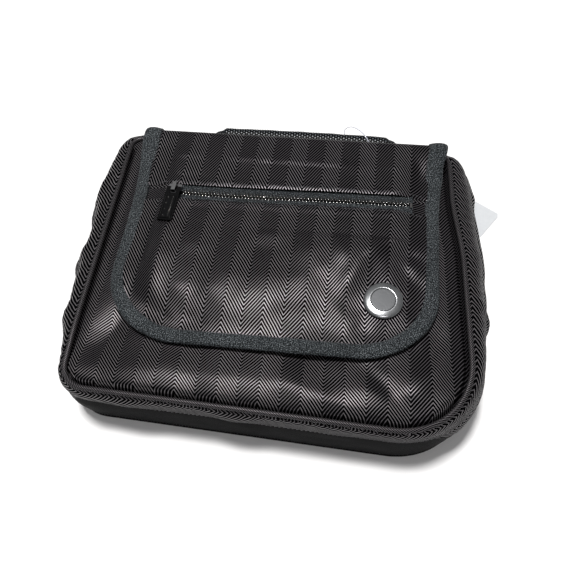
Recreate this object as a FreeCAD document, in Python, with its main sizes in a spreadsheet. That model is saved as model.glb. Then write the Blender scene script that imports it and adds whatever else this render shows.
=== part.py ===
import FreeCAD, Part
import math
import os
import re
import Sketcher
from FreeCAD import Placement, Rotation, Vector

# Hanging toiletry bag, lying on its back.
# X runs across the width, +Y towards the carry handle, +Z out of the front face.
# The origin is the middle of the back panel's resting face.

DIMENSIONS = {
    # bag shell
    "panel_width": 262,
    "panel_height": 224,
    "panel_corner": 28,
    "bag_depth": 56.5,
    "wall": 2.5,
    "lining": 0.6,
    "board": 1.2,
    "lining_inset": 9,
    "lap": 0.1,
    "gusset_cloth": 2,
    "side_bulge": 17,
    "top_swell": 0.6,
    "bottom_bulge": 6,
    "strip_height": 19,
    "welt_radius": 1.6,
    "cover_width": 226,
    "cover_cloth": 1.5,
    "cover_low": 1.5,
    # slip pocket inside the bag
    "pocket_width": 200,
    "pocket_height": 110,
    "pocket_depth": 12,
    "pocket_cloth": 1.2,
    "pocket_low": 98,
    "elastic_width": 3,
    # main zip on the front panel
    "main_zip_y": 88,
    "main_zip_half": 100,
    "main_slot_half": 5,
    "main_slot_spare": 3,
    # flap
    "flap_width": 226,
    "flap_top": 111.5,
    "flap_bottom": 74,
    "flap_corner": 50,
    "flap_underside": 60.5,
    "flap_depth": 6.7,
    "flap_cloth": 1.2,
    "binding_width": 9,
    "flap_zip_y": 48.5,
    "flap_zip_gap": 14,
    "flap_zip_left": 90,
    "flap_zip_right": 93,
    "flap_teeth_left": 76,
    # zip parts
    "tape_width": 7,
    "tape_cloth": 0.5,
    "tooth_pitch": 2.5,
    "tooth_width": 0.95,
    "tooth_reach": 2.5,
    "tooth_depth": 1.8,
    "bead_width": 1.4,
    "slider_length": 10,
    "slider_width": 8.4,
    "slider_plate": 1.1,
    "slider_play": 0.25,
    "post_length": 2,
    "post_width": 1.6,
    "stop_length": 1.6,
    "stop_width": 4,
    "stop_depth": 2.4,
    "tab_width": 10.6,
    "tab_length": 30,
    "tab_depth": 1.8,
    "tab_bar": 0.8,
    "window_width": 5,
    "window_height": 7,
    "window_top": 0.6,
    "inlay_edge": 1.2,
    "inlay_short": 9,
    "inlay_depth": 0.4,
    "bridge_width": 3,
    "bridge_length": 8,
    "bridge_height": 3.4,
    "bridge_bar": 1.2,
    "bridge_roof": 1,
    "main_tab_width": 6,
    "main_tab_length": 20,
    "main_tab_depth": 1.2,
    "main_link_length": 7.8,
    "main_link_depth": 0.7,
    # badge and magnetic closure
    "badge_x": 76,
    "badge_drop": 32,
    "badge_radius": 13,
    "badge_depth": 3,
    "inlay_radius": 8,
    "magnet_radius": 9,
    "magnet_depth": 1.6,
    # carry handle
    "handle_x": 4,
    "handle_half": 79,
    "handle_y": 138,
    "handle_z": 37,
    "strap_width": 14,
    "strap_cloth": 3,
    "strap_bend": 8,
    "grip_half": 71,
    "grip_radius": 6.5,
    "patch_width": 26,
    "patch_cloth": 1.8,
    "patch_spare": 10,
    # hanging hook
    "hook_z": 12,
    "hook_y": 122,
    "hook_bar": 2.5,
    "hook_shank": 38,
    "hook_bend": 12,
    "hook_eye": 5,
    "hook_pin": 2,
    "hook_tip": 16,
    "hook_play": 0.3,
    "cheek_length": 14,
    "cheek_reach": 12,
    "cheek_depth": 2.5,
    "bracket_length": 20,
    "bracket_height": 22,
    "bracket_cloth": 1.6,
    # swing tag
    "tag_length": 85,
    "tag_width": 44,
    "tag_card": 0.5,
    "tag_cord": 0.8,
    "tag_x": 174,
    "tag_y": 101,
    "tag_turn": 146,
    "tag_room": 0.6,
    "tag_hole": 1.5,
    "lock_radius": 2.4,
    "lock_height": 2.2,
}

doc = FreeCAD.newDocument("toiletry_bag")
sheet = doc.addObject("Spreadsheet::Sheet", "dims")
for row, (alias, amount) in enumerate(DIMENSIONS.items(), start=1):
    sheet.set(f"A{row}", alias)
    sheet.set(f"B{row}", str(amount))
    sheet.setAlias(f"B{row}", alias)
doc.recompute()

pieces = []


def size(alias):
    """A driving dimension, read from the sheet."""
    return float(getattr(sheet, alias))


def linked(text):
    """An expression in which each sheet alias points at its cell."""
    return re.sub(r"[a-z_]+", lambda word: f"dims.{word.group()}", str(text))


def number(text):
    return float(sheet.evalExpression(linked(text)))


def bind(piece, **sizes):
    for name, text in sizes.items():
        piece.setExpression(name, linked(text))
    return piece


def place(piece, corner):
    for letter, text in zip("xyz", corner):
        piece.setExpression(f"Placement.Base.{letter}", linked(text))
    return piece


def keep(piece, label):
    """Mark a finished sub-part; its label names its file."""
    piece.Label = label
    pieces.append(piece)
    return piece


# ---------------------------------------------------------------- builders


def loose_block(name, sizes, placement):
    """A box turned to lie at an angle."""
    piece = doc.addObject("Part::Box", name)
    bind(piece, Length=sizes[0], Width=sizes[1], Height=sizes[2])
    piece.Placement = placement
    return piece


def block(name, sizes, corner):
    return place(loose_block(name, sizes, Placement()), corner)


def rod(name, radius, length, start, axis="z"):
    """A cylinder from start along the named axis."""
    turns = {
        "x": Rotation(Vector(0, 1, 0), 90),
        "y": Rotation(Vector(1, 0, 0), -90),
        "z": Rotation(),
    }
    piece = doc.addObject("Part::Cylinder", name)
    bind(piece, Radius=radius, Height=length)
    piece.Placement = Placement(Vector(), turns[axis])
    return place(piece, start)


def cut(name, base, tool):
    piece = doc.addObject("Part::Cut", name)
    piece.Base = base
    piece.Tool = tool
    return piece


def fuse(name, shapes):
    piece = doc.addObject("Part::MultiFuse", name)
    piece.Shapes = shapes
    return piece


def shaped(name, shape):
    """A sub-part whose shape no primitive or feature gives."""
    piece = doc.addObject("Part::Feature", name)
    piece.Shape = shape
    return piece


def origin_plane(body, role):
    return next(item for item in body.Origin.OriginFeatures if item.Role == role)


def new_sketch(body, name, role="XY_Plane"):
    sketch = body.newObject("Sketcher::SketchObject", name)
    sketch.AttachmentSupport = [(origin_plane(body, role), "")]
    sketch.MapMode = "FlatFace"
    return sketch


def constrain(sketch, kind, *args, text=None, name=None):
    if text is None:
        sketch.addConstraint(Sketcher.Constraint(kind, *args))
        return
    index = sketch.addConstraint(Sketcher.Constraint(kind, *args, number(text)))
    sketch.renameConstraint(index, name)
    sketch.setExpression(f"Constraints.{name}", linked(text))


def tongue_outline(sketch, half_width, down, up, corner):
    """Rectangle with two rounded lower corners, standing astride the origin."""
    half = number(half_width)
    low = -number(down)
    high = number(up)
    radius = number(corner)
    upward = Vector(0, 0, 1)
    right_centre = Vector(half - radius, low + radius, 0)
    left_centre = Vector(radius - half, low + radius, 0)
    sketch.addGeometry([
        Part.LineSegment(Vector(radius - half, low, 0), Vector(half - radius, low, 0)),
        Part.ArcOfCircle(Part.Circle(right_centre, upward, radius), -math.pi / 2, 0),
        Part.LineSegment(Vector(half, low + radius, 0), Vector(half, high, 0)),
        Part.LineSegment(Vector(half, high, 0), Vector(-half, high, 0)),
        Part.LineSegment(Vector(-half, high, 0), Vector(-half, low + radius, 0)),
        Part.ArcOfCircle(Part.Circle(left_centre, upward, radius), math.pi, 1.5 * math.pi),
    ], False)
    for first, end, second, start in ((0, 2, 1, 1), (1, 2, 2, 1), (4, 2, 5, 1), (5, 2, 0, 1)):
        constrain(sketch, "Tangent", first, end, second, start)
    constrain(sketch, "Coincident", 2, 2, 3, 1)
    constrain(sketch, "Coincident", 3, 2, 4, 1)
    constrain(sketch, "Horizontal", 0)
    constrain(sketch, "Vertical", 2)
    constrain(sketch, "Horizontal", 3)
    constrain(sketch, "Vertical", 4)
    constrain(sketch, "Equal", 1, 5)
    constrain(sketch, "Radius", 1, text=corner, name="corner")
    constrain(sketch, "DistanceX", -1, 1, 2, 2, text=half_width, name="right")
    constrain(sketch, "DistanceX", 3, 2, -1, 1, text=half_width, name="left")
    constrain(sketch, "DistanceY", 0, 1, -1, 1, text=down, name="down")
    constrain(sketch, "DistanceY", -1, 1, 3, 1, text=up, name="up")


def rectangle_outline(sketch, half_width, low, high):
    """Rectangle above the origin, centred on the Y axis."""
    half = number(half_width)
    bottom = number(low)
    top = number(high)
    corners = [(-half, bottom), (half, bottom), (half, top), (-half, top)]
    points = [Vector(x, y, 0) for x, y in corners]
    for index in range(4):
        sketch.addGeometry(Part.LineSegment(points[index], points[(index + 1) % 4]), False)
    for index in range(4):
        constrain(sketch, "Coincident", index, 2, (index + 1) % 4, 1)
    for index, kind in enumerate(("Horizontal", "Vertical", "Horizontal", "Vertical")):
        constrain(sketch, kind, index)
    constrain(sketch, "DistanceX", -1, 1, 1, 1, text=half_width, name="right")
    constrain(sketch, "DistanceX", 0, 1, -1, 1, text=half_width, name="left")
    constrain(sketch, "DistanceY", -1, 1, 0, 1, text=low, name="low")
    constrain(sketch, "DistanceY", -1, 1, 2, 1, text=high, name="high")


def padded_body(name, level):
    """A body with an empty first sketch, standing on level."""
    body = doc.addObject("PartDesign::Body", name)
    sketch = new_sketch(body, f"{name}_outline")
    place(body, ("0", "0", level))
    return body, sketch


def pad(body, sketch, depth):
    feature = body.newObject("PartDesign::Pad", f"{body.Name}_pad")
    feature.Profile = sketch
    bind(feature, Length=depth)
    doc.recompute()
    return feature


def tongue(name, half_width, down, up, corner, depth, level):
    body, sketch = padded_body(name, level)
    tongue_outline(sketch, half_width, down, up, corner)
    pad(body, sketch, depth)
    return body


def slot(body, half_width, low, high):
    """A rectangular slot right through a padded body."""
    before = body.Shape.Volume
    sketch = new_sketch(body, f"{body.Name}_slot")
    rectangle_outline(sketch, half_width, low, high)
    pocket = body.newObject("PartDesign::Pocket", f"{body.Name}_pocket")
    pocket.Profile = sketch
    pocket.Type = "ThroughAll"
    pocket.Midplane = True
    doc.recompute()
    if body.Shape.Volume >= before:
        raise RuntimeError(f"{body.Name}: the slot cut nothing")
    return body


def revolved(name, profile, corner):
    """A PartDesign revolution about Z; profile lists (radius, height) corners."""
    body = doc.addObject("PartDesign::Body", name)
    sketch = new_sketch(body, f"{name}_profile", "XZ_Plane")
    points = [Vector(number(radius), number(height), 0) for radius, height in profile]
    count = len(points)
    for index in range(count):
        sketch.addGeometry(Part.LineSegment(points[index], points[(index + 1) % count]), False)
    for index in range(count):
        constrain(sketch, "Coincident", index, 2, (index + 1) % count, 1)
    for index, (radius, height) in enumerate(profile):
        if number(radius) == 0:
            constrain(sketch, "PointOnObject", index, 1, -2)
        else:
            constrain(sketch, "DistanceX", -1, 1, index, 1, text=radius, name=f"radius_{index}")
        if number(height) == 0:
            constrain(sketch, "PointOnObject", index, 1, -1)
        else:
            constrain(sketch, "DistanceY", -1, 1, index, 1, text=height, name=f"height_{index}")
    feature = body.newObject("PartDesign::Revolution", f"{name}_turn")
    feature.Profile = sketch
    feature.ReferenceAxis = (sketch, ["V_Axis"])
    feature.Angle = 360
    doc.recompute()
    place(body, corner)
    return body


def edge_path(half_width, bottom, top, corner, level):
    """The U-shaped line down one side, round the bottom and up the other side."""
    turn = corner * (1 - math.cos(math.pi / 4))
    left = -half_width
    points = {
        "left_top": Vector(left, top, level),
        "left_end": Vector(left, bottom + corner, level),
        "left_mid": Vector(left + turn, bottom + turn, level),
        "base_left": Vector(left + corner, bottom, level),
        "base_right": Vector(half_width - corner, bottom, level),
        "right_mid": Vector(half_width - turn, bottom + turn, level),
        "right_end": Vector(half_width, bottom + corner, level),
        "right_top": Vector(half_width, top, level),
    }
    edges = [
        Part.Arc(points["left_end"], points["left_mid"], points["base_left"]).toShape(),
        Part.LineSegment(points["base_left"], points["base_right"]).toShape(),
        Part.Arc(points["base_right"], points["right_mid"], points["right_end"]).toShape(),
    ]
    if top > bottom + corner:
        edges.insert(0, Part.LineSegment(points["left_top"], points["left_end"]).toShape())
        edges.append(Part.LineSegment(points["right_end"], points["right_top"]).toShape())
    return Part.Wire(edges)


def sweep(path, profile):
    """A solid of the profile along the path, with its corners kept square to it."""
    shell = Part.BRepOffsetAPI.MakePipeShell(path)
    shell.setFrenetMode(False)
    shell.setBiNormalMode(Vector(0, 0, 1))
    shell.add(profile)
    shell.build()
    shell.makeSolid()
    return shell.shape()


def section(points):
    """A closed wire through the points."""
    return Part.makePolygon(list(points) + [points[0]])


def band_section(seam_x, along, bulge, cloth, low, high, heights):
    """Slice of a bulged gusset: an arc-shaped strip of cloth, from one height to another.

    seam_x is the seam's place (its sign is the side), low and high are the two seams.
    """
    side = math.copysign(1, seam_x)
    half = (high - low) / 2
    middle = (high + low) / 2
    outer = (half ** 2 + bulge ** 2) / (2 * bulge)
    centre = abs(seam_x) + bulge - outer

    def point(radius, height):
        reach = math.sqrt(radius ** 2 - (height - middle) ** 2)
        return Vector(side * (centre + reach), along, height)

    bottom, top = heights
    centre_height = (bottom + top) / 2
    inner = outer - cloth
    return Part.Wire([
        Part.Arc(point(outer, bottom), point(outer, centre_height), point(outer, top)).toShape(),
        Part.LineSegment(point(outer, top), point(inner, top)).toShape(),
        Part.Arc(point(inner, top), point(inner, centre_height), point(inner, bottom)).toShape(),
        Part.LineSegment(point(inner, bottom), point(outer, bottom)).toShape(),
    ])


# ---------------------------------------------------------------- bag shell

half_panel = size("panel_width") / 2
half_height = size("panel_height") / 2
corner = size("panel_corner")
front_seam = size("bag_depth") - size("wall")
back_seam = size("wall")


def panels():
    half = "panel_width / 2"
    reach = "panel_height / 2"
    front = tongue("front_panel", half, reach, reach, "panel_corner", "wall", "bag_depth - wall")
    slot_low = "main_zip_y - main_slot_half"
    slot_high = "main_zip_y + main_slot_half"
    slot(front, "main_zip_half + main_slot_spare", slot_low, slot_high)
    keep(front, "front_panel")
    inner = "panel_width / 2 - lining_inset"
    inner_reach = "panel_height / 2 - lining_inset"
    radius = "panel_corner - lining_inset"
    level = "bag_depth - wall - lining"
    front_lining = tongue("front_lining", inner, inner_reach, inner_reach, radius, "lining", level)
    slot(front_lining, "main_zip_half + main_slot_spare", slot_low, slot_high)
    keep(front_lining, "front_lining")
    board = tongue("back_board", inner, inner_reach, inner_reach, radius, "board", "wall")
    keep(board, "back_board")
    level = "wall + board"
    back_lining = tongue("back_lining", inner, inner_reach, inner_reach, radius, "lining", level)
    keep(back_lining, "back_lining")


def back_panel():
    """The back panel, pressed up where the swing tag lies under its corner."""
    reach = "panel_height / 2"
    panel = tongue("back_cloth", "panel_width / 2", reach, reach, "panel_corner", "wall", "0")
    recess = loose_block("tag_recess",
                         ("tag_length + 2 * tag_room", "tag_width + 2 * tag_room",
                          "2 * (tag_card + lap)"),
                         tag_placement(-size("tag_room"), -size("tag_card") - size("lap")))
    keep(cut("back_panel", panel, recess), "back_panel")


def tag_placement(shift, level):
    """Where the swing tag lies: its outer corner beyond the bag's right side."""
    outer_corner = Vector(size("tag_x"), size("tag_y"), level)
    turn = Rotation(Vector(0, 0, 1), size("tag_turn"))
    return Placement(outer_corner + turn.multVec(Vector(shift, shift, 0)), turn)


def side_gussets():
    """The sides swell most at mid height and flatten towards both ends."""
    cloth = size("gusset_cloth")
    swell = size("side_bulge")
    end_swell = size("bottom_bulge")
    start = corner - half_height
    stations = [(start, end_swell), (start * 0.55, 0.75 * swell), (0, swell),
                (0.6 * half_height, swell), (half_height - cloth, size("top_swell") * swell)]
    for name, side in (("side_gusset_left", -1), ("side_gusset_right", 1)):
        slices = [
            band_section(side * half_panel, along, bulge, cloth, back_seam, front_seam,
                         (back_seam, front_seam))
            for along, bulge in stations
        ]
        keep(shaped(name, Part.makeLoft(slices, True, True)), name)


def bottom_gusset():
    """Patterned strip along the front seam and a plain band along the back seam."""
    path = edge_path(half_panel, -half_height, corner - half_height, corner, 0)
    split = front_seam - size("strip_height")
    for name, heights in (("bottom_strip", (split, front_seam)),
                          ("bottom_band", (back_seam, split))):
        profile = band_section(-half_panel, corner - half_height, size("bottom_bulge"),
                               size("gusset_cloth"), back_seam, front_seam, heights)
        keep(shaped(name, sweep(path, profile)), name)


def welts():
    """Piping in the seams round the sides and the bottom."""
    radius = size("welt_radius")
    levels = {"front_welt": (2.4, size("bag_depth") + 0.7), "back_welt": (3.9, 2.5)}
    for name, (out, level) in levels.items():
        half = half_panel + out
        path = edge_path(half, -half_height - out, half_height - 4, corner + out, level)
        start = path.Vertexes[0].Point
        ring = Part.Circle(start, Vector(0, 1, 0), radius)
        keep(shaped(name, sweep(path, Part.Wire(ring.toShape()))), name)


def top():
    """The top wall, the fold-over cloth sewn on it and that cloth's bound edges."""
    top_y = "panel_height / 2"
    bulge = size("top_swell") * size("side_bulge")
    middle = (front_seam + back_seam) / 2
    y = half_height - size("gusset_cloth")
    right = [Vector(half_panel, y, back_seam), Vector(half_panel + bulge, y, middle),
             Vector(half_panel, y, front_seam)]
    left = [Vector(-point.x, y, point.z) for point in reversed(right)]
    outline = Part.Wire([
        Part.Arc(*right).toShape(), Part.LineSegment(right[2], left[0]).toShape(),
        Part.Arc(*left).toShape(), Part.LineSegment(left[2], right[0]).toShape(),
    ])
    wall = Part.Face(outline).extrude(Vector(0, size("gusset_cloth"), 0))
    keep(shaped("top_gusset", wall), "top_gusset")
    half_cover = "cover_width / 2"
    fold_height = "flap_underside + flap_depth - flap_cloth / 2 - lap - cover_low"
    cover = block("top_cover", ("cover_width - 2 * binding_width", "cover_cloth", fold_height),
                  (f"binding_width - {half_cover}", f"{top_y} + lap", "cover_low"))
    keep(cover, "top_cover")
    corners = {"cover_binding_left": f"0 - {half_cover}",
               "cover_binding_right": f"{half_cover} - binding_width"}
    for name, left in corners.items():
        edge = block(name, ("binding_width", "2 * cover_cloth", fold_height),
                     (left, f"{top_y} + lap", "cover_low"))
        keep(edge, name)


def inside_pocket():
    """Slip pocket on the back lining, open towards the handle."""
    floor = "wall + board + lining"
    left = "0 - pocket_width / 2"
    cavity = "pocket_depth - pocket_cloth"
    outer = block("pocket_outer", ("pocket_width", "pocket_height", "pocket_depth"),
                  (left, "0 - pocket_low", floor))
    inner = block("pocket_inner", ("pocket_width - 2 * pocket_cloth", "pocket_height", cavity),
                  (f"{left} + pocket_cloth", "pocket_cloth - pocket_low", floor))
    keep(cut("inner_pocket", outer, inner), "inner_pocket")
    band = block("pocket_elastic", ("pocket_width", "elastic_width", "pocket_cloth"),
                 (left, "pocket_height - pocket_low", f"{floor} + {cavity}"))
    keep(band, "pocket_elastic")


# ---------------------------------------------------------------- zips


def tooth_row(name, side, start, stop, line_y, level):
    """One zip row: teeth crimped on a bead along the tape's edge."""
    pitch = size("tooth_pitch")
    width = size("tooth_width")
    reach = size("tooth_reach")
    depth = size("tooth_depth")
    bead = size("bead_width")
    root = side * 1.6
    offset = 0 if side < 0 else pitch / 2
    count = int((stop - start - offset) / pitch)
    bead_low = line_y + min(root, root + side * bead)
    core = Part.makeBox(stop - start, bead, depth - 0.4,
                        Vector(start, bead_low, level - depth / 2 + 0.2))
    low = line_y + min(root - side * reach, root)
    teeth = [
        Part.makeBox(width, reach, depth,
                     Vector(start + offset + index * pitch, low, level - depth / 2))
        for index in range(count)
    ]
    keep(shaped(name, core.multiFuse(teeth)), name)


def tapes(prefix, start, stop, line_y, level):
    """The two woven tapes, one on each side of the teeth."""
    bead_edge = f"({line_y}) + 1.6 + bead_width"
    low_edge = f"({line_y}) - 1.6 - bead_width - tape_width"
    length = f"({stop}) - ({start})"
    for name, edge in ((f"{prefix}_tape_upper", bead_edge), (f"{prefix}_tape_lower", low_edge)):
        tape = block(name, (length, "tape_width", "tape_cloth"),
                     (start, edge, f"({level}) - tape_cloth / 2"))
        keep(tape, name)


def stops(name, places, line_y, level):
    """End stops clamped over both rows."""
    made = [
        block(f"{name}_{index}", ("stop_length", "stop_width", "stop_depth"),
              (x, f"({line_y}) - stop_width / 2", f"({level}) - stop_depth / 2"))
        for index, x in enumerate(places)
    ]
    keep(fuse(name, made), name)


def slider(name, left, line_y, level):
    """Slider: two plates above and below the teeth, joined by the dividing post."""
    half = "slider_width / 2"
    gap = "(tooth_depth / 2 + slider_play)"
    plates = [
        block(f"{name}_{index}", ("slider_length", "slider_width", "slider_plate"),
              (left, f"({line_y}) - {half}", height))
        for index, height in enumerate((f"({level}) + {gap}",
                                        f"({level}) - {gap} - slider_plate"))
    ]
    post = block(f"{name}_post", ("post_length", "post_width", f"2 * {gap}"),
                 (left, f"({line_y}) - post_width / 2", f"({level}) - {gap}"))
    keep(fuse(name, plates + [post]), name)


def main_zip():
    """Zip of the main compartment, across the front panel under the flap."""
    level = "bag_depth + tape_cloth / 2"
    left = "0 - main_zip_half"
    height = number(level)
    line = size("main_zip_y")
    half = size("main_zip_half")
    tapes("main", left, "main_zip_half", "main_zip_y", level)
    for name, side in (("main_teeth_upper", 1), ("main_teeth_lower", -1)):
        tooth_row(name, side, 12 - half, half - 3, line, height)
    stops("main_zip_stops", (left, "main_zip_half - stop_length"), "main_zip_y", level)
    slider_left = f"{left} + stop_length + 0.2"
    slider("main_slider", slider_left, "main_zip_y", level)
    tab_left = f"{slider_left} + post_length"
    riser_low = "main_zip_y - slider_width / 2 - 1.8"
    tab_level = "bag_depth + 0.8"
    link_level = f"{level} + tooth_depth / 2 + slider_play + 0.05 + slider_plate"
    tab = block("main_pull_tab", ("main_tab_width", "main_tab_length", "main_tab_depth"),
                (tab_left, f"{riser_low} + 0.2 - main_tab_length", tab_level))
    riser = block("main_pull_riser", ("main_tab_width", "1.4", "2.5"),
                  (tab_left, riser_low, tab_level))
    link = block("main_pull_link", ("main_tab_width", "main_link_length", "main_link_depth"),
                 (tab_left, riser_low, link_level))
    keep(fuse("main_pull", [tab, riser, link]), "main_pull")


# ---------------------------------------------------------------- flap

flap_front = "flap_underside + flap_depth"
zip_level = "flap_underside + flap_depth - flap_cloth - 0.35"


def flap_cloths():
    inner = "flap_width / 2 - binding_width"
    down = "flap_bottom - binding_width"
    radius = "flap_corner - binding_width"
    low_edge = "flap_zip_y - flap_zip_gap / 2"
    face_level = f"{flap_front} - flap_cloth"
    lower = tongue("flap_lower", inner, down, low_edge, radius, "flap_cloth", face_level)
    keep(lower, "flap_lower")
    upper = block("flap_upper", ("flap_width - 2 * binding_width",
                                 "flap_top - flap_zip_y - flap_zip_gap / 2", "flap_cloth"),
                  ("binding_width - flap_width / 2", "flap_zip_y + flap_zip_gap / 2", face_level))
    keep(upper, "flap_upper")
    backing = tongue("flap_lining", inner, down, "flap_top", radius, "lining", "flap_underside")
    keep(backing, "flap_lining")
    ends = {"flap_zip_end_left": ("binding_width - flap_width / 2",
                                  "flap_width / 2 - binding_width - flap_zip_left"),
            "flap_zip_end_right": ("flap_zip_right",
                                   "flap_width / 2 - binding_width - flap_zip_right")}
    for name, (left, length) in ends.items():
        patch = block(name, (length, "flap_zip_gap", "flap_cloth"), (left, low_edge, face_level))
        keep(patch, name)


def flap_binding():
    """Rounded tape folded over the flap's edge, down one side and up the other."""
    width = size("binding_width")
    half = size("flap_width") / 2
    low = size("flap_underside") - 0.3
    high = size("flap_underside") + size("flap_depth") + 0.3
    ease = 2.2
    path = edge_path(half, -size("flap_bottom"), size("flap_top"), size("flap_corner"), 0)
    y = size("flap_top")
    profile = section([
        Vector(-half, y, low + ease), Vector(-half + ease, y, low),
        Vector(-half + width, y, low), Vector(-half + width, y, high),
        Vector(-half + ease, y, high), Vector(-half, y, high - ease),
    ])
    keep(shaped("flap_binding", sweep(path, profile)), "flap_binding")


def flap_zip():
    height = number(zip_level)
    line = size("flap_zip_y")
    left = "0 - flap_zip_left"
    tapes("flap", left, "flap_zip_right", "flap_zip_y", zip_level)
    for name, side in (("flap_teeth_upper", 1), ("flap_teeth_lower", -1)):
        start = -size("flap_teeth_left")
        tooth_row(name, side, start, size("flap_zip_right") - 2, line, height)
    stops("flap_zip_stops", (left, "flap_zip_right - stop_length"), "flap_zip_y", zip_level)
    slider_left = f"{left} + 2"
    slider("flap_slider", slider_left, "flap_zip_y", zip_level)
    top_face = f"{zip_level} + tooth_depth / 2 + slider_play + slider_plate"
    bridge_left = f"{slider_left} + (slider_length - bridge_width) / 2"
    outer = block("bridge_outer", ("bridge_width", "bridge_length", "bridge_height"),
                  (bridge_left, "flap_zip_y - bridge_length / 2", top_face))
    inner = block("bridge_inner",
                  ("bridge_width", "bridge_length - 2 * bridge_bar", "bridge_height - bridge_roof"),
                  (bridge_left, "flap_zip_y - bridge_length / 2 + bridge_bar", top_face))
    keep(cut("flap_slider_bridge", outer, inner), "flap_slider_bridge")
    pull_tab(slider_left, top_face)


def pull_tab(slider_left, top_face):
    """Rectangular pull with a window that hangs on the slider's bridge."""
    middle = f"({slider_left} + slider_length / 2)"
    left = f"{middle} - tab_width / 2"
    tip = "flap_zip_y - tab_length - 1.2"
    low = f"({top_face}) + 0.3"
    bar = rod("pull_bar", "tab_bar", "tab_width", (left, "flap_zip_y", f"{low} + tab_bar"), "x")
    plate = block("pull_plate", ("tab_width", "tab_length + 1", "tab_depth"), (left, tip, low))
    window = block("pull_window", ("window_width", "window_height", "tab_depth + 2"),
                   (f"{middle} - window_width / 2", "flap_zip_y + window_top - window_height",
                    f"{low} - 1"))
    framed = cut("pull_frame", plate, window)
    keep(fuse("pull_tab", [framed, bar]), "pull_tab")
    inlay = block("pull_inlay",
                  ("tab_width - 2 * inlay_edge", "tab_length - inlay_short", "inlay_depth"),
                  (f"{left} + inlay_edge", f"{tip} + 1.4", f"{low} + tab_depth"))
    keep(inlay, "pull_inlay")


def badge():
    """Domed disc riveted through the flap over the magnetic closure."""
    base = ("badge_x", "0 - badge_drop", flap_front)
    disc = revolved("badge_disc", [
        ("0", "0"), ("badge_radius", "0"), ("badge_radius", "badge_depth * 0.35"),
        ("badge_radius * 0.9", "badge_depth * 0.8"), ("inlay_radius + 1.2", "badge_depth"),
        ("inlay_radius", "badge_depth * 0.8"), ("0", "badge_depth * 0.8"),
    ], base)
    keep(disc, "badge_disc")
    inlay = rod("badge_inlay", "inlay_radius - 0.2", "badge_depth * 0.15",
                ("badge_x", "0 - badge_drop", f"{flap_front} + badge_depth * 0.8"))
    keep(inlay, "badge_inlay")
    washer = rod("badge_washer", "magnet_radius", "1",
                 ("badge_x", "0 - badge_drop", f"{flap_front} - flap_cloth - 1"))
    keep(washer, "badge_washer")
    magnet = rod("flap_magnet", "magnet_radius", "magnet_depth",
                 ("badge_x", "0 - badge_drop", "flap_underside - magnet_depth"))
    keep(magnet, "flap_magnet")
    keeper = rod("front_magnet", "magnet_radius", "magnet_depth",
                 ("badge_x", "0 - badge_drop", "bag_depth"))
    keep(keeper, "front_magnet")


# ---------------------------------------------------------------- handle


def rounded_foot(left, length, foot):
    """Space that rounds the strap's feet about the line on which the handle swings."""
    radius = size("strap_width") / 2
    axis = Vector(left, foot + radius, size("handle_z"))
    barrel = Part.makeCylinder(radius, length, axis, Vector(1, 0, 0))
    above = Part.makeBox(length, 60, 2 * radius, axis - Vector(0, 0, radius))
    return barrel.fuse(above)


def handle():
    """Webbing handle with a padded grip, standing on two sewn patches."""
    half = size("handle_half")
    bend = size("strap_bend")
    cloth = size("strap_cloth")
    foot = half_height + 3.8
    top_y = size("handle_y") + cloth / 2
    low = size("handle_z") - size("strap_width") / 2
    x = size("handle_x")
    outline = []
    for reach, crown, radius in ((half, top_y, bend), (half - cloth, top_y - cloth, bend - cloth)):
        turn = radius * (1 - math.cos(math.pi / 4))
        outline.append([
            Vector(x - reach, foot, low), Vector(x - reach, crown - radius, low),
            Vector(x - reach + turn, crown - turn, low), Vector(x - reach + radius, crown, low),
            Vector(x + reach - radius, crown, low), Vector(x + reach - turn, crown - turn, low),
            Vector(x + reach, crown - radius, low), Vector(x + reach, foot, low),
        ])
    edges = []
    for line in outline:
        edges += [
            Part.LineSegment(line[0], line[1]).toShape(),
            Part.Arc(line[1], line[2], line[3]).toShape(),
            Part.LineSegment(line[3], line[4]).toShape(),
            Part.Arc(line[4], line[5], line[6]).toShape(),
            Part.LineSegment(line[6], line[7]).toShape(),
        ]
    for end in (0, -1):
        edges.append(Part.LineSegment(outline[0][end], outline[1][end]).toShape())
    face = Part.Face(Part.Wire(Part.__sortEdges__(edges)))
    strap = face.extrude(Vector(0, 0, size("strap_width")))
    strap = strap.common(rounded_foot(x - half - 1, 2 * half + 2, foot))
    room = Part.makeBox(2 * size("grip_half") + 0.4, cloth + 0.4, size("strap_width") + 0.4,
                        Vector(x - size("grip_half") - 0.2, top_y - cloth - 0.2, low - 0.2))
    keep(shaped("handle_strap", strap), "handle_strap")
    grip = Part.makeBox(2 * size("grip_half"), 2 * size("grip_radius"), size("strap_width") + 6,
                        Vector(x - size("grip_half"), size("handle_y") - size("grip_radius"), low - 3))
    long_edges = [edge for edge in grip.Edges if abs(edge.tangentAt(0).x) > 0.9]
    grip = grip.makeFillet(size("grip_radius") * 0.75, long_edges)
    keep(shaped("handle_grip", grip.cut(room)), "handle_grip")
    for name, side in (("handle_patch_left", "0 - 1"), ("handle_patch_right", "1")):
        patch = block(name, ("patch_width", "patch_cloth", "strap_width + patch_spare"),
                      (f"handle_x + ({side}) * (handle_half - strap_cloth / 2) - patch_width / 2",
                       "panel_height / 2 + lap + cover_cloth",
                       "handle_z - strap_width / 2 - patch_spare / 2"))
        keep(patch, name)


# ---------------------------------------------------------------- hook


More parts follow.
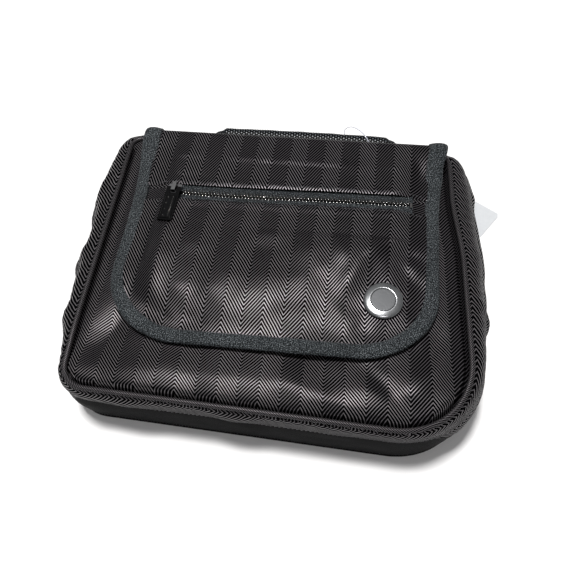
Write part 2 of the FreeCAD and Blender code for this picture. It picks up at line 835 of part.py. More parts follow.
def hook():
    """Flat hanging hook, folded along the top wall; it turns on a pin in its bracket."""
    y = size("hook_y")
    z = size("hook_z")
    bar = size("hook_bar")
    shank = size("hook_shank")
    bend = size("hook_bend")
    tip = size("hook_tip")
    outer = bend + bar
    inner = bend - bar
    low = z - bar
    thick = 2 * bar
    shaft = Part.makeBox(shank, thick, thick, Vector(0, y - bar, low))
    centre = Vector(shank, y + bend, low)
    ring = Part.makeCylinder(outer, thick, centre).cut(Part.makeCylinder(inner, thick, centre))
    crook = ring.common(Part.makeBox(outer, 2 * outer, thick, centre - Vector(0, outer, 0)))
    point = Part.makeBox(tip, thick, thick, Vector(shank - tip, y + 2 * bend - bar, low))
    eye = Part.makeCylinder(size("hook_eye") + 1.5, thick, Vector(0, y, low))
    whole = shaft.multiFuse([crook, point, eye]).removeSplitter()
    bore = Part.makeCylinder(size("hook_pin") + 0.1, 2 * thick, Vector(0, y, low - bar))
    keep(shaped("hanging_hook", whole.cut(bore)), "hanging_hook")
    pin = rod("hook_pin_rod", "hook_pin", "2 * hook_bar + 7",
              ("0", "hook_y", "hook_z - hook_bar - 3.5"))
    keep(pin, "hook_pin")
    cheeks = []
    levels = ("hook_z - hook_bar - hook_play - cheek_depth", "hook_z + hook_bar + hook_play")
    for index, level in enumerate(levels):
        cheeks.append(block(f"hook_cheek_{index}", ("cheek_length", "cheek_reach", "cheek_depth"),
                            ("0 - cheek_length / 2", "panel_height / 2 + 1.8", level)))
    base = block("hook_base", ("bracket_length", "bracket_cloth", "bracket_height"),
                 ("0 - bracket_length / 2", "panel_height / 2 + lap + cover_cloth",
                  "hook_z - bracket_height / 2"))
    bored = cut("hook_bracket_body", fuse("hook_bracket_solid", cheeks + [base]),
                rod("hook_bracket_bore", "hook_pin", "30", ("0", "hook_y", "hook_z - 15")))
    keep(bored, "hook_bracket")


# ---------------------------------------------------------------- swing tag

# Points that the nylon loop is drawn towards, from the tag round the grip and back.
LOOP_ROUTE = [
    (96, 140, 3.2), (90, 131, 9), (79, 125, 20), (69, 122, 34), (61, 126, 47),
    (52, 137, 52), (42, 149, 46), (35, 156, 33), (41, 158, 19), (58, 153, 10),
    (76, 147, 5), (90, 143.5, 3.2),
]


def cord_tube(points, diameter):
    """Straight runs joined by tangent arcs, as large as the shorter run allows."""
    spots = [Vector(*point) for point in points]
    edges = []
    here = spots[0]
    for index in range(1, len(spots) - 1):
        back = spots[index - 1] - spots[index]
        ahead = spots[index + 1] - spots[index]
        trim = 0.45 * min(back.Length, ahead.Length)
        turn = math.pi - back.getAngle(ahead)
        radius = trim / math.tan(turn / 2)
        print(f"loop bend {index}: radius {radius:.1f} mm, turn {math.degrees(turn):.0f} degrees")
        first = spots[index] + back.normalize() * trim
        last = spots[index] + ahead.normalize() * trim
        inward = (back + ahead).normalize()
        depth = math.sqrt(trim ** 2 + radius ** 2) - radius
        edges.append(Part.LineSegment(here, first).toShape())
        edges.append(Part.Arc(first, spots[index] + inward * depth, last).toShape())
        here = last
    edges.append(Part.LineSegment(here, spots[-1]).toShape())
    path = Part.Wire(edges)
    start = Part.Circle(spots[0], spots[1] - spots[0], diameter / 2)
    shell = Part.BRepOffsetAPI.MakePipeShell(path)
    shell.setTransitionMode(1)
    shell.add(Part.Wire(start.toShape()))
    shell.build()
    shell.makeSolid()
    tube = shell.shape()
    wanted = math.pi * diameter ** 2 / 4 * path.Length
    print(f"loop length {path.Length:.1f} mm, volume {tube.Volume:.2f} of {wanted:.2f} mm3")
    return tube


def swing_tag():
    """Blank card on a nylon loop that goes round the grip."""
    card = loose_block("tag_blank", ("tag_length", "tag_width", "tag_card"), tag_placement(0, 0))
    hole = rod("tag_bore", "tag_hole", "4", ("94", "142", "-1"))
    keep(cut("swing_tag", card, hole), "swing_tag")
    lock = rod("tag_lock", "lock_radius", "lock_height", ("93", "141.8", "tag_card + 1.6"))
    keep(lock, "tag_lock")
    tube = cord_tube(LOOP_ROUTE, size("tag_cord"))
    keep(shaped("tag_loop", tube), "tag_loop")


# ---------------------------------------------------------------- build

panels()
back_panel()
side_gussets()
bottom_gusset()
welts()
top()
inside_pocket()
main_zip()
flap_cloths()
flap_binding()
flap_zip()
badge()
handle()
hook()
swing_tag()
doc.recompute()

for item in doc.Objects:
    if {"Invalid", "Error"} & set(item.State):
        raise RuntimeError(f"{item.Label} failed: {item.State}")
for piece in pieces:
    if piece.Shape.isNull() or not piece.Shape.isValid():
        raise RuntimeError(f"{piece.Label} has no valid shape")

os.makedirs("parts", exist_ok=True)
for piece in pieces:
    piece.Shape.exportStep(os.path.join("parts", f"{piece.Label}.step"))
    box = piece.Shape.BoundBox
    print(f"{piece.Label:22s} solids {len(piece.Shape.Solids):3d} volume {piece.Shape.Volume:9.1f}"
          f"  x {box.XMin:7.1f} {box.XMax:7.1f}  y {box.YMin:7.1f} {box.YMax:7.1f}"
          f"  z {box.ZMin:6.2f} {box.ZMax:6.2f}")
print(len(pieces), "sub-parts")
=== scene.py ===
import math

import bpy
import numpy as np
from mathutils import Euler, Matrix, Vector


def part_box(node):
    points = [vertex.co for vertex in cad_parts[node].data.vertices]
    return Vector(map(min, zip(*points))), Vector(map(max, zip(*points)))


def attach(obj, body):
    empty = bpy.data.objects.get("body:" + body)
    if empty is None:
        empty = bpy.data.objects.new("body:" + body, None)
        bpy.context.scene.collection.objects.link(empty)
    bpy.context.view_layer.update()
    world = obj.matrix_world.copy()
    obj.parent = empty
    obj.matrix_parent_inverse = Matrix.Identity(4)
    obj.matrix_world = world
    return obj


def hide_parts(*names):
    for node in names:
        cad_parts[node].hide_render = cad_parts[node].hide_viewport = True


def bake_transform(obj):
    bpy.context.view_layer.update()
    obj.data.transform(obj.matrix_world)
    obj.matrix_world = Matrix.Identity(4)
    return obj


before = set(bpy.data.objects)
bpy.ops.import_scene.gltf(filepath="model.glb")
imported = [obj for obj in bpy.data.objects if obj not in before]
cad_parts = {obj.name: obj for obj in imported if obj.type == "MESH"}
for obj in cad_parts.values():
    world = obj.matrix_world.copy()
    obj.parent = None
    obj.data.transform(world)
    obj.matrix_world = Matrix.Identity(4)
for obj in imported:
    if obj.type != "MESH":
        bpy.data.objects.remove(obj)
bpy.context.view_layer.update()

MM = 0.001


def link(item):
    bpy.context.scene.collection.objects.link(item)


# ---------------------------------------------------------------- camera and light

camera_data = bpy.data.cameras.new("camera")
camera_data.sensor_width = 36
camera_data.lens = 35.26
camera = bpy.data.objects.new("camera", camera_data)
camera.location = (0.0555, -0.2228, 0.3877)
camera.rotation_euler = Euler([math.radians(a) for a in (31.35, 2.77, 7.46)])
link(camera)
bpy.context.scene.camera = camera


def lamp(name, place, target, side, watts, colour):
    """A square soft light at place, turned to target."""
    data = bpy.data.lights.new(name, "AREA")
    data.size = side
    data.energy = watts
    data.color = colour
    item = bpy.data.objects.new(name, data)
    item.location = place
    item.rotation_euler = (Vector(target) - Vector(place)).to_track_quat("-Z", "Y").to_euler()
    link(item)


lamp("key", (-0.20, 0.20, 2.40), (0, 0, 0), 0.40, 62, (1.0, 0.99, 0.98))
lamp("fill", (0.25, -0.95, 1.60), (0, 0, 0), 0.45, 3, (1.0, 0.97, 0.98))

world = bpy.data.worlds.new("studio")
world.use_nodes = True
world.node_tree.nodes["Background"].inputs["Color"].default_value = (1, 1, 1, 1)
world.node_tree.nodes["Background"].inputs["Strength"].default_value = 0.22
bpy.context.scene.world = world
bpy.context.scene.view_settings.view_transform = "Standard"


# ---------------------------------------------------------------- shader helpers


class Shader:
    """A Principled material built by short calls; sockets and numbers mix freely."""

    def __init__(self, name):
        self.material = bpy.data.materials.new(name)
        self.material.use_nodes = True
        self.tree = self.material.node_tree
        self.skin = self.tree.nodes["Principled BSDF"]

    def node(self, kind, **settings):
        made = self.tree.nodes.new(kind)
        for key, value in settings.items():
            setattr(made, key, value)
        return made

    def feed(self, socket, value):
        if isinstance(value, bpy.types.NodeSocket):
            self.tree.links.new(value, socket)
        else:
            socket.default_value = value

    def math(self, operation, *values):
        made = self.node("ShaderNodeMath", operation=operation)
        for socket, value in zip(made.inputs, values):
            self.feed(socket, value)
        return made.outputs[0]

    def times(self, first, second):
        return self.math("MULTIPLY", first, second)

    def plus(self, first, second):
        return self.math("ADD", first, second)

    def less(self, first, second):
        return self.math("SUBTRACT", first, second)

    def wave(self, run, pitch):
        """A sine along run that repeats every pitch."""
        return self.math("SINE", self.times(run, 2 * math.pi / pitch))

    def ramp(self, value, low, high, to_low=0.0, to_high=1.0):
        made = self.node("ShaderNodeMapRange", interpolation_type="SMOOTHSTEP")
        for socket, number in zip(made.inputs, (value, low, high, to_low, to_high)):
            self.feed(socket, number)
        return made.outputs[0]

    def mix(self, share, first, second):
        made = self.node("ShaderNodeMix", data_type="RGBA")
        self.feed(made.inputs[0], share)
        self.feed(made.inputs[6], colour(first))
        self.feed(made.inputs[7], colour(second))
        return made.outputs[2]

    def lerp(self, share, first, second):
        made = self.node("ShaderNodeMix", data_type="FLOAT")
        for index, value in zip((0, 2, 3), (share, first, second)):
            self.feed(made.inputs[index], value)
        return made.outputs[0]

    def cloth_uv(self):
        """Across and along the cloth, in millimetres."""
        uv = self.node("ShaderNodeUVMap", uv_map="cloth")
        split = self.node("ShaderNodeSeparateXYZ")
        self.feed(split.inputs[0], uv.outputs[0])
        return [self.times(split.outputs[k], 1 / MM) for k in (0, 1)]

    def spot(self, across, along):
        """A texture vector from two numbers."""
        join = self.node("ShaderNodeCombineXYZ")
        self.feed(join.inputs[0], across)
        self.feed(join.inputs[1], along)
        return join.outputs[0]

    def place(self):
        """The point on the object, in metres."""
        return self.node("ShaderNodeTexCoord").outputs["Object"]

    def noise(self, vector, scale, detail=3.0):
        made = self.node("ShaderNodeTexNoise")
        self.feed(made.inputs["Vector"], vector)
        self.feed(made.inputs["Scale"], scale)
        self.feed(made.inputs["Detail"], detail)
        return made.outputs[0]

    def bump(self, height, depth_mm):
        made = self.node("ShaderNodeBump")
        self.feed(made.inputs["Height"], height)
        self.feed(made.inputs["Distance"], depth_mm * MM)
        return made.outputs[0]

    def finish(self, **inputs):
        for name, value in inputs.items():
            self.feed(self.skin.inputs[name.replace("_", " ")], colour(value))
        return self.material


def colour(value):
    """Three numbers as a colour; anything else unchanged."""
    if isinstance(value, tuple) and len(value) == 3:
        return (*value, 1)
    return value


def shade(tone, share):
    """The same tone, darker or lighter."""
    return tuple(share * part for part in tone)


# ---------------------------------------------------------------- materials

COLUMN = 13.2        # width of one herringbone column, mm
RIB = 2.85           # rise from one twill line to the next, mm
TWILL_SLOPE = 1.315  # rise of a twill line over its run
YARN = 0.55          # between the yarns that cross the twill, mm
WEAVE = 0.7          # between the yarns of the plain cloth, mm
COLUMN_EDGE = -53.6  # x of one meeting of columns on the front, mm
# How far the twill is drawn out along the front, the flap above and below its zip, the sides.
FRONT_PULL, UPPER_PULL, LOWER_PULL, SIDE_PULL = 1.15, 0.80, 0.93, 0.82


def herringbone(name):
    """Satin nylon: pale twill lines on near-black, turning at each column; the lines of alternate
    columns are paler, a painted sheen.
    """
    s = Shader(name)
    across, along = s.cloth_uv()
    drift = s.times(s.less(s.noise(s.spot(across, along), 0.05, 2.0), 0.5), 1.6)
    column = s.math("DIVIDE", s.plus(across, drift), COLUMN)
    zigzag = s.times(s.math("PINGPONG", column, 1.0), COLUMN * TWILL_SLOPE)
    twill = s.wave(s.math("DIVIDE", s.plus(along, zigzag), RIB), 1.0)
    yarn = s.wave(across, YARN)
    line = s.ramp(s.plus(twill, s.times(yarn, 0.14)), 0.42, 1.0)
    leaning = s.ramp(s.math("PINGPONG", s.less(column, 0.5), 1.0), 0.42, 0.58)
    patchy = s.noise(s.place(), 28.0, 4.0)
    thread = s.noise(s.spot(s.times(across, 3.0), along), 1.4, 2.0)
    # painted sheen: the twill lines of one column direction get a paler tone than those of the
    # other, as light catching one lean of the satin would give
    sheen_lit_lines = s.mix(patchy, (0.084, 0.080, 0.084), (0.126, 0.119, 0.126))
    sheen_dim_lines = s.mix(patchy, (0.034, 0.032, 0.035), (0.056, 0.052, 0.057))
    return s.finish(
        Base_Color=s.mix(line, (0.0012, 0.0012, 0.0014), s.mix(leaning, sheen_lit_lines, sheen_dim_lines)),
        Roughness=s.lerp(thread, 0.32, 0.38),
        Specular_IOR_Level=line,
        Specular_Tint=(1.0, 0.93, 0.98),
        Normal=s.bump(s.plus(line, s.times(yarn, 0.12)), 0.02),
    )


def plain_nylon(name, tone):
    """Smooth plain-woven nylon."""
    s = Shader(name)
    across, along = s.cloth_uv()
    weave = s.times(s.wave(across, WEAVE), s.wave(along, WEAVE))
    cloudy = s.noise(s.place(), 35.0, 4.0)
    return s.finish(
        Base_Color=s.mix(cloudy, shade(tone, 0.7), shade(tone, 1.3)),
        Roughness=s.lerp(cloudy, 0.42, 0.52),
        Specular_IOR_Level=0.012,
        Normal=s.bump(s.times(weave, 0.5), 0.06),
    )


def ribbed_tape(name, tone, pitch, sparkle, rib_depth):
    """Woven tape with fine ribs across it and a scatter of glints painted into its colour as pale
    specks.
    """
    s = Shader(name)
    across, along = s.cloth_uv()
    rib = s.wave(along, pitch)
    grain = s.noise(s.spot(across, along), 1.05, 2.0)
    glint = s.ramp(s.noise(s.spot(along, across), 1.3, 1.0), 0.55, 0.68)
    soil = s.noise(s.place(), 30.0, 3.0)
    low = shade(tone, 0.1)
    base = s.mix(s.ramp(s.plus(grain, s.times(rib, 0.09)), 0.42, 0.60), low, tone)
    # painted glints: pale specks mixed into the base colour, as many as sparkle allows
    base = s.mix(s.times(glint, sparkle), base, (0.34, 0.37, 0.39))
    return s.finish(
        Base_Color=s.mix(s.ramp(soil, 0.35, 0.75, 0.0, 0.35), base, low),
        Roughness=s.lerp(grain, 0.5, 0.75),
        Specular_IOR_Level=0.08,
        Sheen_Weight=0.02,
        Sheen_Roughness=0.45,
        Normal=s.bump(s.plus(grain, s.times(rib, 0.25)), rib_depth),
    )


def metal(name, tone, rough, brushing=0.02):
    """Plated metal with faint rubbed variation."""
    s = Shader(name)
    rubbed = s.noise(s.place(), 900.0, 2.0)
    worn = s.noise(s.place(), 160.0, 4.0)
    return s.finish(
        Base_Color=s.mix(worn, shade(tone, 0.72), tone),
        Metallic=1.0,
        Roughness=s.lerp(worn, rough * 0.75, rough * 1.25),
        Normal=s.bump(rubbed, brushing),
    )


def plastic(name, tone, rough, grain=0.03, gloss=0.5):
    """Moulded or enamelled, with a fine grain."""
    s = Shader(name)
    fine = s.noise(s.place(), 700.0, 3.0)
    broad = s.noise(s.place(), 70.0, 3.0)
    return s.finish(
        Base_Color=s.mix(broad, tone, shade(tone, 1.5)),
        Roughness=s.lerp(broad, rough * 0.8, rough * 1.2),
        Specular_IOR_Level=gloss,
        Normal=s.bump(fine, grain),
    )


STUD_PITCH = 2.2     # of the grip's raised dots, mm


def pebbled(name):
    """Black leatherette with rows of raised dots, glossier than the leather between them, each
    painted pale blue-grey as a highlight.
    """
    s = Shader(name)
    across, along = s.cloth_uv()
    row = s.math("DIVIDE", along, STUD_PITCH)
    stagger = s.times(s.math("MODULO", s.math("FLOOR", row), 2.0), 0.5)
    cell = s.plus(s.math("DIVIDE", across, STUD_PITCH), stagger)
    a, b = [s.less(s.math("FRACT", part), 0.5) for part in (cell, row)]
    gap = s.math("SQRT", s.plus(s.times(a, a), s.times(b, b)))
    dot_and_highlight = s.ramp(gap, 0.14, 0.32, 1.0, 0.0)
    broad = s.noise(s.place(), 60.0, 3.0)
    fine = s.noise(s.place(), 900.0, 3.0)
    return s.finish(
        # painted highlight: each dot is pale blue-grey in the base colour, on every side of the
        # grip
        Base_Color=s.mix(dot_and_highlight, (0.003, 0.003, 0.0035), (0.075, 0.088, 0.100)),
        Roughness=s.lerp(broad, 0.30, 0.42),
        Specular_IOR_Level=s.lerp(dot_and_highlight, 0.04, 1.0),
        Normal=s.bump(fine, 0.02),
    )


def card_stock(name):
    s = Shader(name)
    fibre = s.noise(s.place(), 420.0, 4.0)
    broad = s.noise(s.place(), 40.0, 3.0)
    base = s.mix(fibre, (0.58, 0.60, 0.62), (0.66, 0.68, 0.70))
    return s.finish(
        Base_Color=s.mix(s.ramp(broad, 0.3, 0.7, 0.0, 0.3), base, (0.50, 0.52, 0.54)),
        Roughness=0.5,
        Normal=s.bump(fibre, 0.02),
    )


def clear_nylon(name):
    s = Shader(name)
    broad = s.noise(s.place(), 90.0, 2.0)
    return s.finish(
        Base_Color=s.mix(broad, (0.70, 0.72, 0.85), (0.86, 0.88, 0.95)),
        Roughness=0.12,
        IOR=1.5,
        Transmission_Weight=0.55,
        Coat_Weight=0.4,
    )


LOOKS = {name: recipe(name, *settings) for name, recipe, *settings in (
    ("herringbone", herringbone),
    ("plain_nylon", plain_nylon, (0.0075, 0.0075, 0.008)),
    ("binding_tape", ribbed_tape, (0.030, 0.036, 0.040), 1.5, 0.62, 0.35),
    ("lining_cloth", plain_nylon, (0.022, 0.022, 0.024)),
    ("elastic", ribbed_tape, (0.03, 0.03, 0.032), 1.6, 0.1, 0.2),
    ("board", plastic, (0.10, 0.10, 0.10), 0.7),
    ("webbing", ribbed_tape, (0.016, 0.017, 0.019), 1.4, 0.25, 0.25),
    ("grip_leatherette", pebbled),
    ("zip_tape", ribbed_tape, (0.026, 0.031, 0.035), 1.1, 0.35, 0.14),
    ("gunmetal", metal, (0.34, 0.335, 0.33), 0.20),
    ("slider_nickel", metal, (0.55, 0.55, 0.56), 0.20),
    ("black_enamel", plastic, (0.0012, 0.0012, 0.0014), 0.14, 0.004, 0.3),
    ("satin_silver", metal, (0.46, 0.47, 0.485), 0.22),
    ("inlay_silver", metal, (0.075, 0.077, 0.080), 0.46, 0.05),
    ("magnet_steel", metal, (0.52, 0.52, 0.52), 0.28),
    ("black_plastic", plastic, (0.014, 0.014, 0.015), 0.38),
    ("tag_card", card_stock),
    ("clear_nylon", clear_nylon),
    ("sewing_thread", ribbed_tape, (0.11, 0.11, 0.115), 0.5, 0.3, 0.08),
)}


# ---------------------------------------------------------------- mesh helpers


def smooth(x, low, high):
    """0 below low, 1 above high, and a soft step between."""
    share = np.clip((x - low) / (high - low), 0, 1)
    return share * share * (3 - 2 * share)


def bell(distance, width):
    return np.exp(-(distance / width) ** 2)


def capped_rings(rows, columns):
    """Faces of a stack of closed rings of points, with a cap at each end."""
    index = np.arange(rows * columns).reshape(rows, columns)
    beyond = np.roll(index, -1, axis=1)
    quads = np.stack([index[:-1], beyond[:-1], beyond[1:], index[1:]], -1).reshape(-1, 4)
    return quads.tolist() + [index[0, ::-1].tolist(), index[-1].tolist()]


def crease(x, y, start, end, width):
    """1 along the line from start to end, fading to 0 beside it and at its ends."""
    start, end = np.array(start, float), np.array(end, float)
    run = end - start
    share = ((x - start[0]) * run[0] + (y - start[1]) * run[1]) / (run @ run)
    held = np.clip(share, 0, 1)
    beside = np.hypot(x - start[0] - held * run[0], y - start[1] - held * run[1])
    taper = 0.35 + 0.65 * np.sin(np.pi * held)
    return np.exp(-(beside / width) ** 2) * taper


def creases(x, y, table):
    """Sum of creases, each given as start, end, height and width."""
    return sum(height * crease(x, y, start, end, width) for start, end, height, width in table)


def box_mm(node):
    """Corners of a CAD node's box."""
    return [np.array(corner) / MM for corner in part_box(node)]


def rumple(x, y, size, seed):
    """Smooth irregular waves from -1 to 1, about size mm apart."""
    period = 97
    table = np.random.default_rng(seed).uniform(-1, 1, (period, period))
    gx, gy = np.asarray(x) / size + 40.0, np.asarray(y) / size + 40.0
    ix, iy = np.floor(gx).astype(int), np.floor(gy).astype(int)
    fx, fy = gx - ix, gy - iy
    fx, fy = fx * fx * (3 - 2 * fx), fy * fy * (3 - 2 * fy)
    low, high = [table[ix % period, row % period] * (1 - fx)
                 + table[(ix + 1) % period, row % period] * fx for row in (iy, iy + 1)]
    return low * (1 - fy) + high * fy


def add_piece(name, points, faces, uv, look, body=None, slot=None, replaces=()):
    """A smooth-shaded mesh object from points in mm and UVs in mm, riding on body."""
    mesh = bpy.data.meshes.new(name)
    mesh.from_pydata((np.asarray(points, float) * MM).tolist(), [], [list(f) for f in faces])
    mesh.update()
    layer = mesh.uv_layers.new(name="cloth")
    corners = np.empty(len(mesh.loops), int)
    mesh.loops.foreach_get("vertex_index", corners)
    layer.data.foreach_set("uv", (np.asarray(uv, float) * MM)[corners].ravel())
    mesh.polygons.foreach_set("use_smooth", [True] * len(mesh.polygons))
    mesh.set_sharp_from_angle(angle=math.radians(55))
    mesh.materials.append(LOOKS[look])
    item = bpy.data.objects.new(name, mesh)
    link(item)
    if body:
        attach(item, body)
    if replaces:
        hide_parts(*replaces)
    return item


def facing(points):
    """Unit normals of a grid of points: along rows crossed with down columns."""
    along = np.gradient(points, axis=1)
    down = np.gradient(points, axis=0)
    normal = np.cross(along, down)
    length = np.linalg.norm(normal, axis=2, keepdims=True)
    return normal / np.maximum(length, 1e-9)


def sheet_mesh(points, uv, thick, hole=None):
    """A closed sheet of cloth under a grid of points; hole marks cells left out.

    The grid's normals point out of the face that shows; thick is a number or one per point.
    """
    rows, columns = points.shape[:2]
    inner = points - facing(points) * np.asarray(thick)[..., None]
    count = rows * columns
    verts = np.concatenate([points.reshape(-1, 3), inner.reshape(-1, 3)])
    index = np.arange(count).reshape(rows, columns)
    open_cell = np.zeros((rows - 1, columns - 1), bool) if hole is None else hole
    quads = np.stack([index[:-1, :-1], index[:-1, 1:], index[1:, 1:], index[1:, :-1]], -1)
    quads = quads[~open_cell]
    edges = np.concatenate([quads[:, [k, (k + 1) % 4]] for k in range(4)])
    seen = {}
    for a, b in edges.tolist():
        seen[(a, b)] = seen.get((a, b), 0) + 1
    rim = [(b, a, a + count, b + count) for a, b in seen if (b, a) not in seen]
    faces = quads.tolist() + (quads[:, ::-1] + count).tolist() + rim
    flat = np.concatenate([uv.reshape(-1, 2)] * 2)
    used = np.zeros(len(verts), bool)
    for face in faces:
        used[list(face)] = True
    if not used.all():
        fresh = np.cumsum(used) - 1
        faces = [[int(fresh[v]) for v in face] for face in faces]
        verts, flat = verts[used], flat[used]
    return verts, faces, flat


def cloth_piece(name, points, uv, thick, look, hole=None, **rest):
    """thick may vary over the grid. The face that shows is the grid's own."""
    return add_piece(name, *sheet_mesh(points, uv, thick, hole), look, **rest)


def frames(path, up):
    """Sideways and upward unit vectors along a path."""
    tangent = np.gradient(path, axis=0)
    tangent /= np.linalg.norm(tangent, axis=1, keepdims=True)
    up = np.broadcast_to(np.asarray(up, float), path.shape)
    side = np.cross(tangent, up)
    side /= np.linalg.norm(side, axis=1, keepdims=True)
    return side, np.cross(side, tangent)


def lengths(path):
    steps = np.linalg.norm(np.diff(path, axis=0), axis=1)
    return np.concatenate([[0], np.cumsum(steps)])


def swept_mesh(path, profile, up):
    """A closed profile of (sideways, up) points, or one for each path point, swept and capped."""
    path = np.asarray(path, float)
    profile = np.asarray(profile, float)
    if profile.ndim == 2:
        profile = np.broadcast_to(profile, (len(path), *profile.shape))
    side, rise = frames(path, up)
    rings = (path[:, None] + side[:, None] * profile[..., :1] + rise[:, None] * profile[..., 1:])
    girth = lengths(np.vstack([profile[0], profile[0][:1]]))[:-1]
    uv = np.stack(np.broadcast_arrays(girth[None, :], lengths(path)[:, None]), -1)
    return rings.reshape(-1, 3), capped_rings(*rings.shape[:2]), uv.reshape(-1, 2)


def swept_piece(name, path, profile, up, look, **rest):
    return add_piece(name, *swept_mesh(path, profile, up), look, **rest)


def ring_profile(wide, high, count):
    angle = np.linspace(0, 2 * np.pi, count, endpoint=False)
    return np.stack([wide * np.cos(angle), high * np.sin(angle)], 1)


def resample(path, step):
    """The same line with points step mm apart."""
    path = np.asarray(path, float)
    run = lengths(path)
    count = max(3, int(round(run[-1] / step)) + 1)
    at = np.linspace(0, run[-1], count)
    return np.stack([np.interp(at, run, path[:, k]) for k in range(path.shape[1])], 1)


def stitch_mesh(path, up, pitch, share, radius):
    """A row of sewn stitches along a line: one small bead a stitch, its ends sunk in the cloth."""
    path = resample(path, pitch / 6)
    run = lengths(path)
    side, rise = frames(path, up)
    span = np.array([-0.5, -0.34, 0.0, 0.34, 0.5])
    swell = np.array([0.25, 0.85, 1.0, 0.85, 0.25])
    ring = ring_profile(1.0, 0.8, 6)
    beads = []
    for middle in np.arange(pitch / 2, run[-1] - pitch / 2, pitch):
        at = middle + span * pitch * share
        centre = np.stack([np.interp(at, run, path[:, k]) for k in range(3)], 1)
        here = int(np.argmin(abs(run - middle)))
        sink = (1 - swell) * (radius + 0.12)
        centre = centre - rise[here] * sink[:, None]
        rings = centre[:, None] + radius * swell[:, None, None] * (
            side[here] * ring[None, :, :1] + rise[here] * ring[None, :, 1:])
        uv = [(0.1 * k, place) for place in at for k in range(len(ring))]
        beads.append((rings, capped_rings(len(span), len(ring)), uv))
    return joined(beads)


def joined(parts):
    """Several (points, faces, uv) as one."""
    points, faces, uv, first = [], [], [], 0
    for part_points, part_faces, part_uv in parts:
        points.append(np.asarray(part_points, float).reshape(-1, 3))
        uv.append(np.asarray(part_uv, float).reshape(-1, 2))
        faces += [[v + first for v in face] for face in part_faces]
        first += len(points[-1])
    return np.concatenate(points), faces, np.concatenate(uv)


# ---------------------------------------------------------------- the sewn shell

HALF_WIDTH, BOTTOM, TOP = 131.0, -112.0, 110.5
LEFT_LOW_CORNER, RIGHT_LOW_CORNER, HIGH_CORNER = 17.0, 50.0, 9.0
BACK_LEVEL = 2.6
STRIP_SHARE = 0.34    # how far down the bottom wall the herringbone strip reaches


def rounded_outline():
    """The shell's seam line from the middle of the top edge, down the left side and round."""
    points = [(0.0, TOP)]
    for x, y, radius, start in (
        (-HALF_WIDTH + HIGH_CORNER, TOP - HIGH_CORNER, HIGH_CORNER, 90),
        (-HALF_WIDTH + LEFT_LOW_CORNER, BOTTOM + LEFT_LOW_CORNER, LEFT_LOW_CORNER, 180),
        (HALF_WIDTH - RIGHT_LOW_CORNER, BOTTOM + RIGHT_LOW_CORNER, RIGHT_LOW_CORNER, 270),
        (HALF_WIDTH - HIGH_CORNER, TOP - HIGH_CORNER, HIGH_CORNER, 0),
    ):
        for angle in np.radians(start + np.linspace(0, 90, 19)):
            points.append((x + radius * math.cos(angle), y + radius * math.sin(angle)))
    points.append((0.0, TOP))
    return resample(points, 1.5)


OUTLINE = rounded_outline()
OUTLINE_RUN = lengths(OUTLINE)
ROUND = OUTLINE_RUN[-1]


def rim_distance(x, y):
    """How far points inside the outline are from it."""
    gap = np.full(x.shape, np.inf)
    for ox, oy in resample(OUTLINE, 0.8):
        gap = np.minimum(gap, np.hypot(x - ox, y - oy))
    return gap


def outline_at(s):
    """Point and outward direction on the outline, s mm round it."""
    def point(run):
        return np.stack([np.interp(np.mod(run, ROUND), OUTLINE_RUN, OUTLINE[:, k]) for k in (0, 1)])

    x, y = point(s)
    run_x, run_y = point(s + 2.0) - point(s - 2.0)
    size = np.hypot(run_x, run_y)
    return x, y, run_y / size, -run_x / size


def run_to(x, y):
    """How far round the outline the point nearest (x, y) lies."""
    return OUTLINE_RUN[int(np.argmin(np.hypot(OUTLINE[:, 0] - x, OUTLINE[:, 1] - y)))]


LEFT_TOP, LEFT_LOW = run_to(-116, TOP), run_to(-HALF_WIDTH, -84)
RIGHT_LOW, RIGHT_TOP = run_to(HALF_WIDTH, -84), run_to(116, TOP)


def slump(x, y):
    """Where a point of the sewn shell has settled."""
    pinch = 4.5 * smooth(y, 10, 70) * smooth(x, 40, 131)
    tilt = 0.026 * x * smooth(-y, 30, 112)
    return x - 0.045 * y - pinch, y - tilt


def seam_level(y):
    """Height of the front seam."""
    return 53.6 - 3.0 * smooth(-y, 60, 110)


def wall_bulge(x, y, nx, ny):
    """How far the wall puffs out of its seams: on the sides, the top and the bottom."""
    heights = [-112, -90, -59, -23, 33, 85, 110]
    left = np.interp(y, heights, [5, 7.5, 12.5, 16.5, 19, 17.5, 15])
    right = np.interp(y, heights, [4, 7.5, 10.5, 14, 17, 18.5, 14])
    side = np.where(x < 0, left, right)
    ears = 15 * smooth(-x, 106, 129) + 11 * smooth(x, 106, 129)
    return side * nx ** 2, (0.8 + ears) * np.clip(ny, 0, 1) ** 2, 5.0 * np.clip(-ny, 0, 1) ** 2


WALL_DENTS = (      # side of the bag, (y, mm below the front seam) of both ends, height, width
    (-1, ((4, 2), (-22, 30)), -2.4, 5.0), (-1, ((76, 1), (30, 17)), -2.6, 3.2),
    (-1, ((-44, 1), (-76, 22)), -2.0, 4.0), (1, ((-18, 5), (-36, 30)), -2.2, 2.6),
)


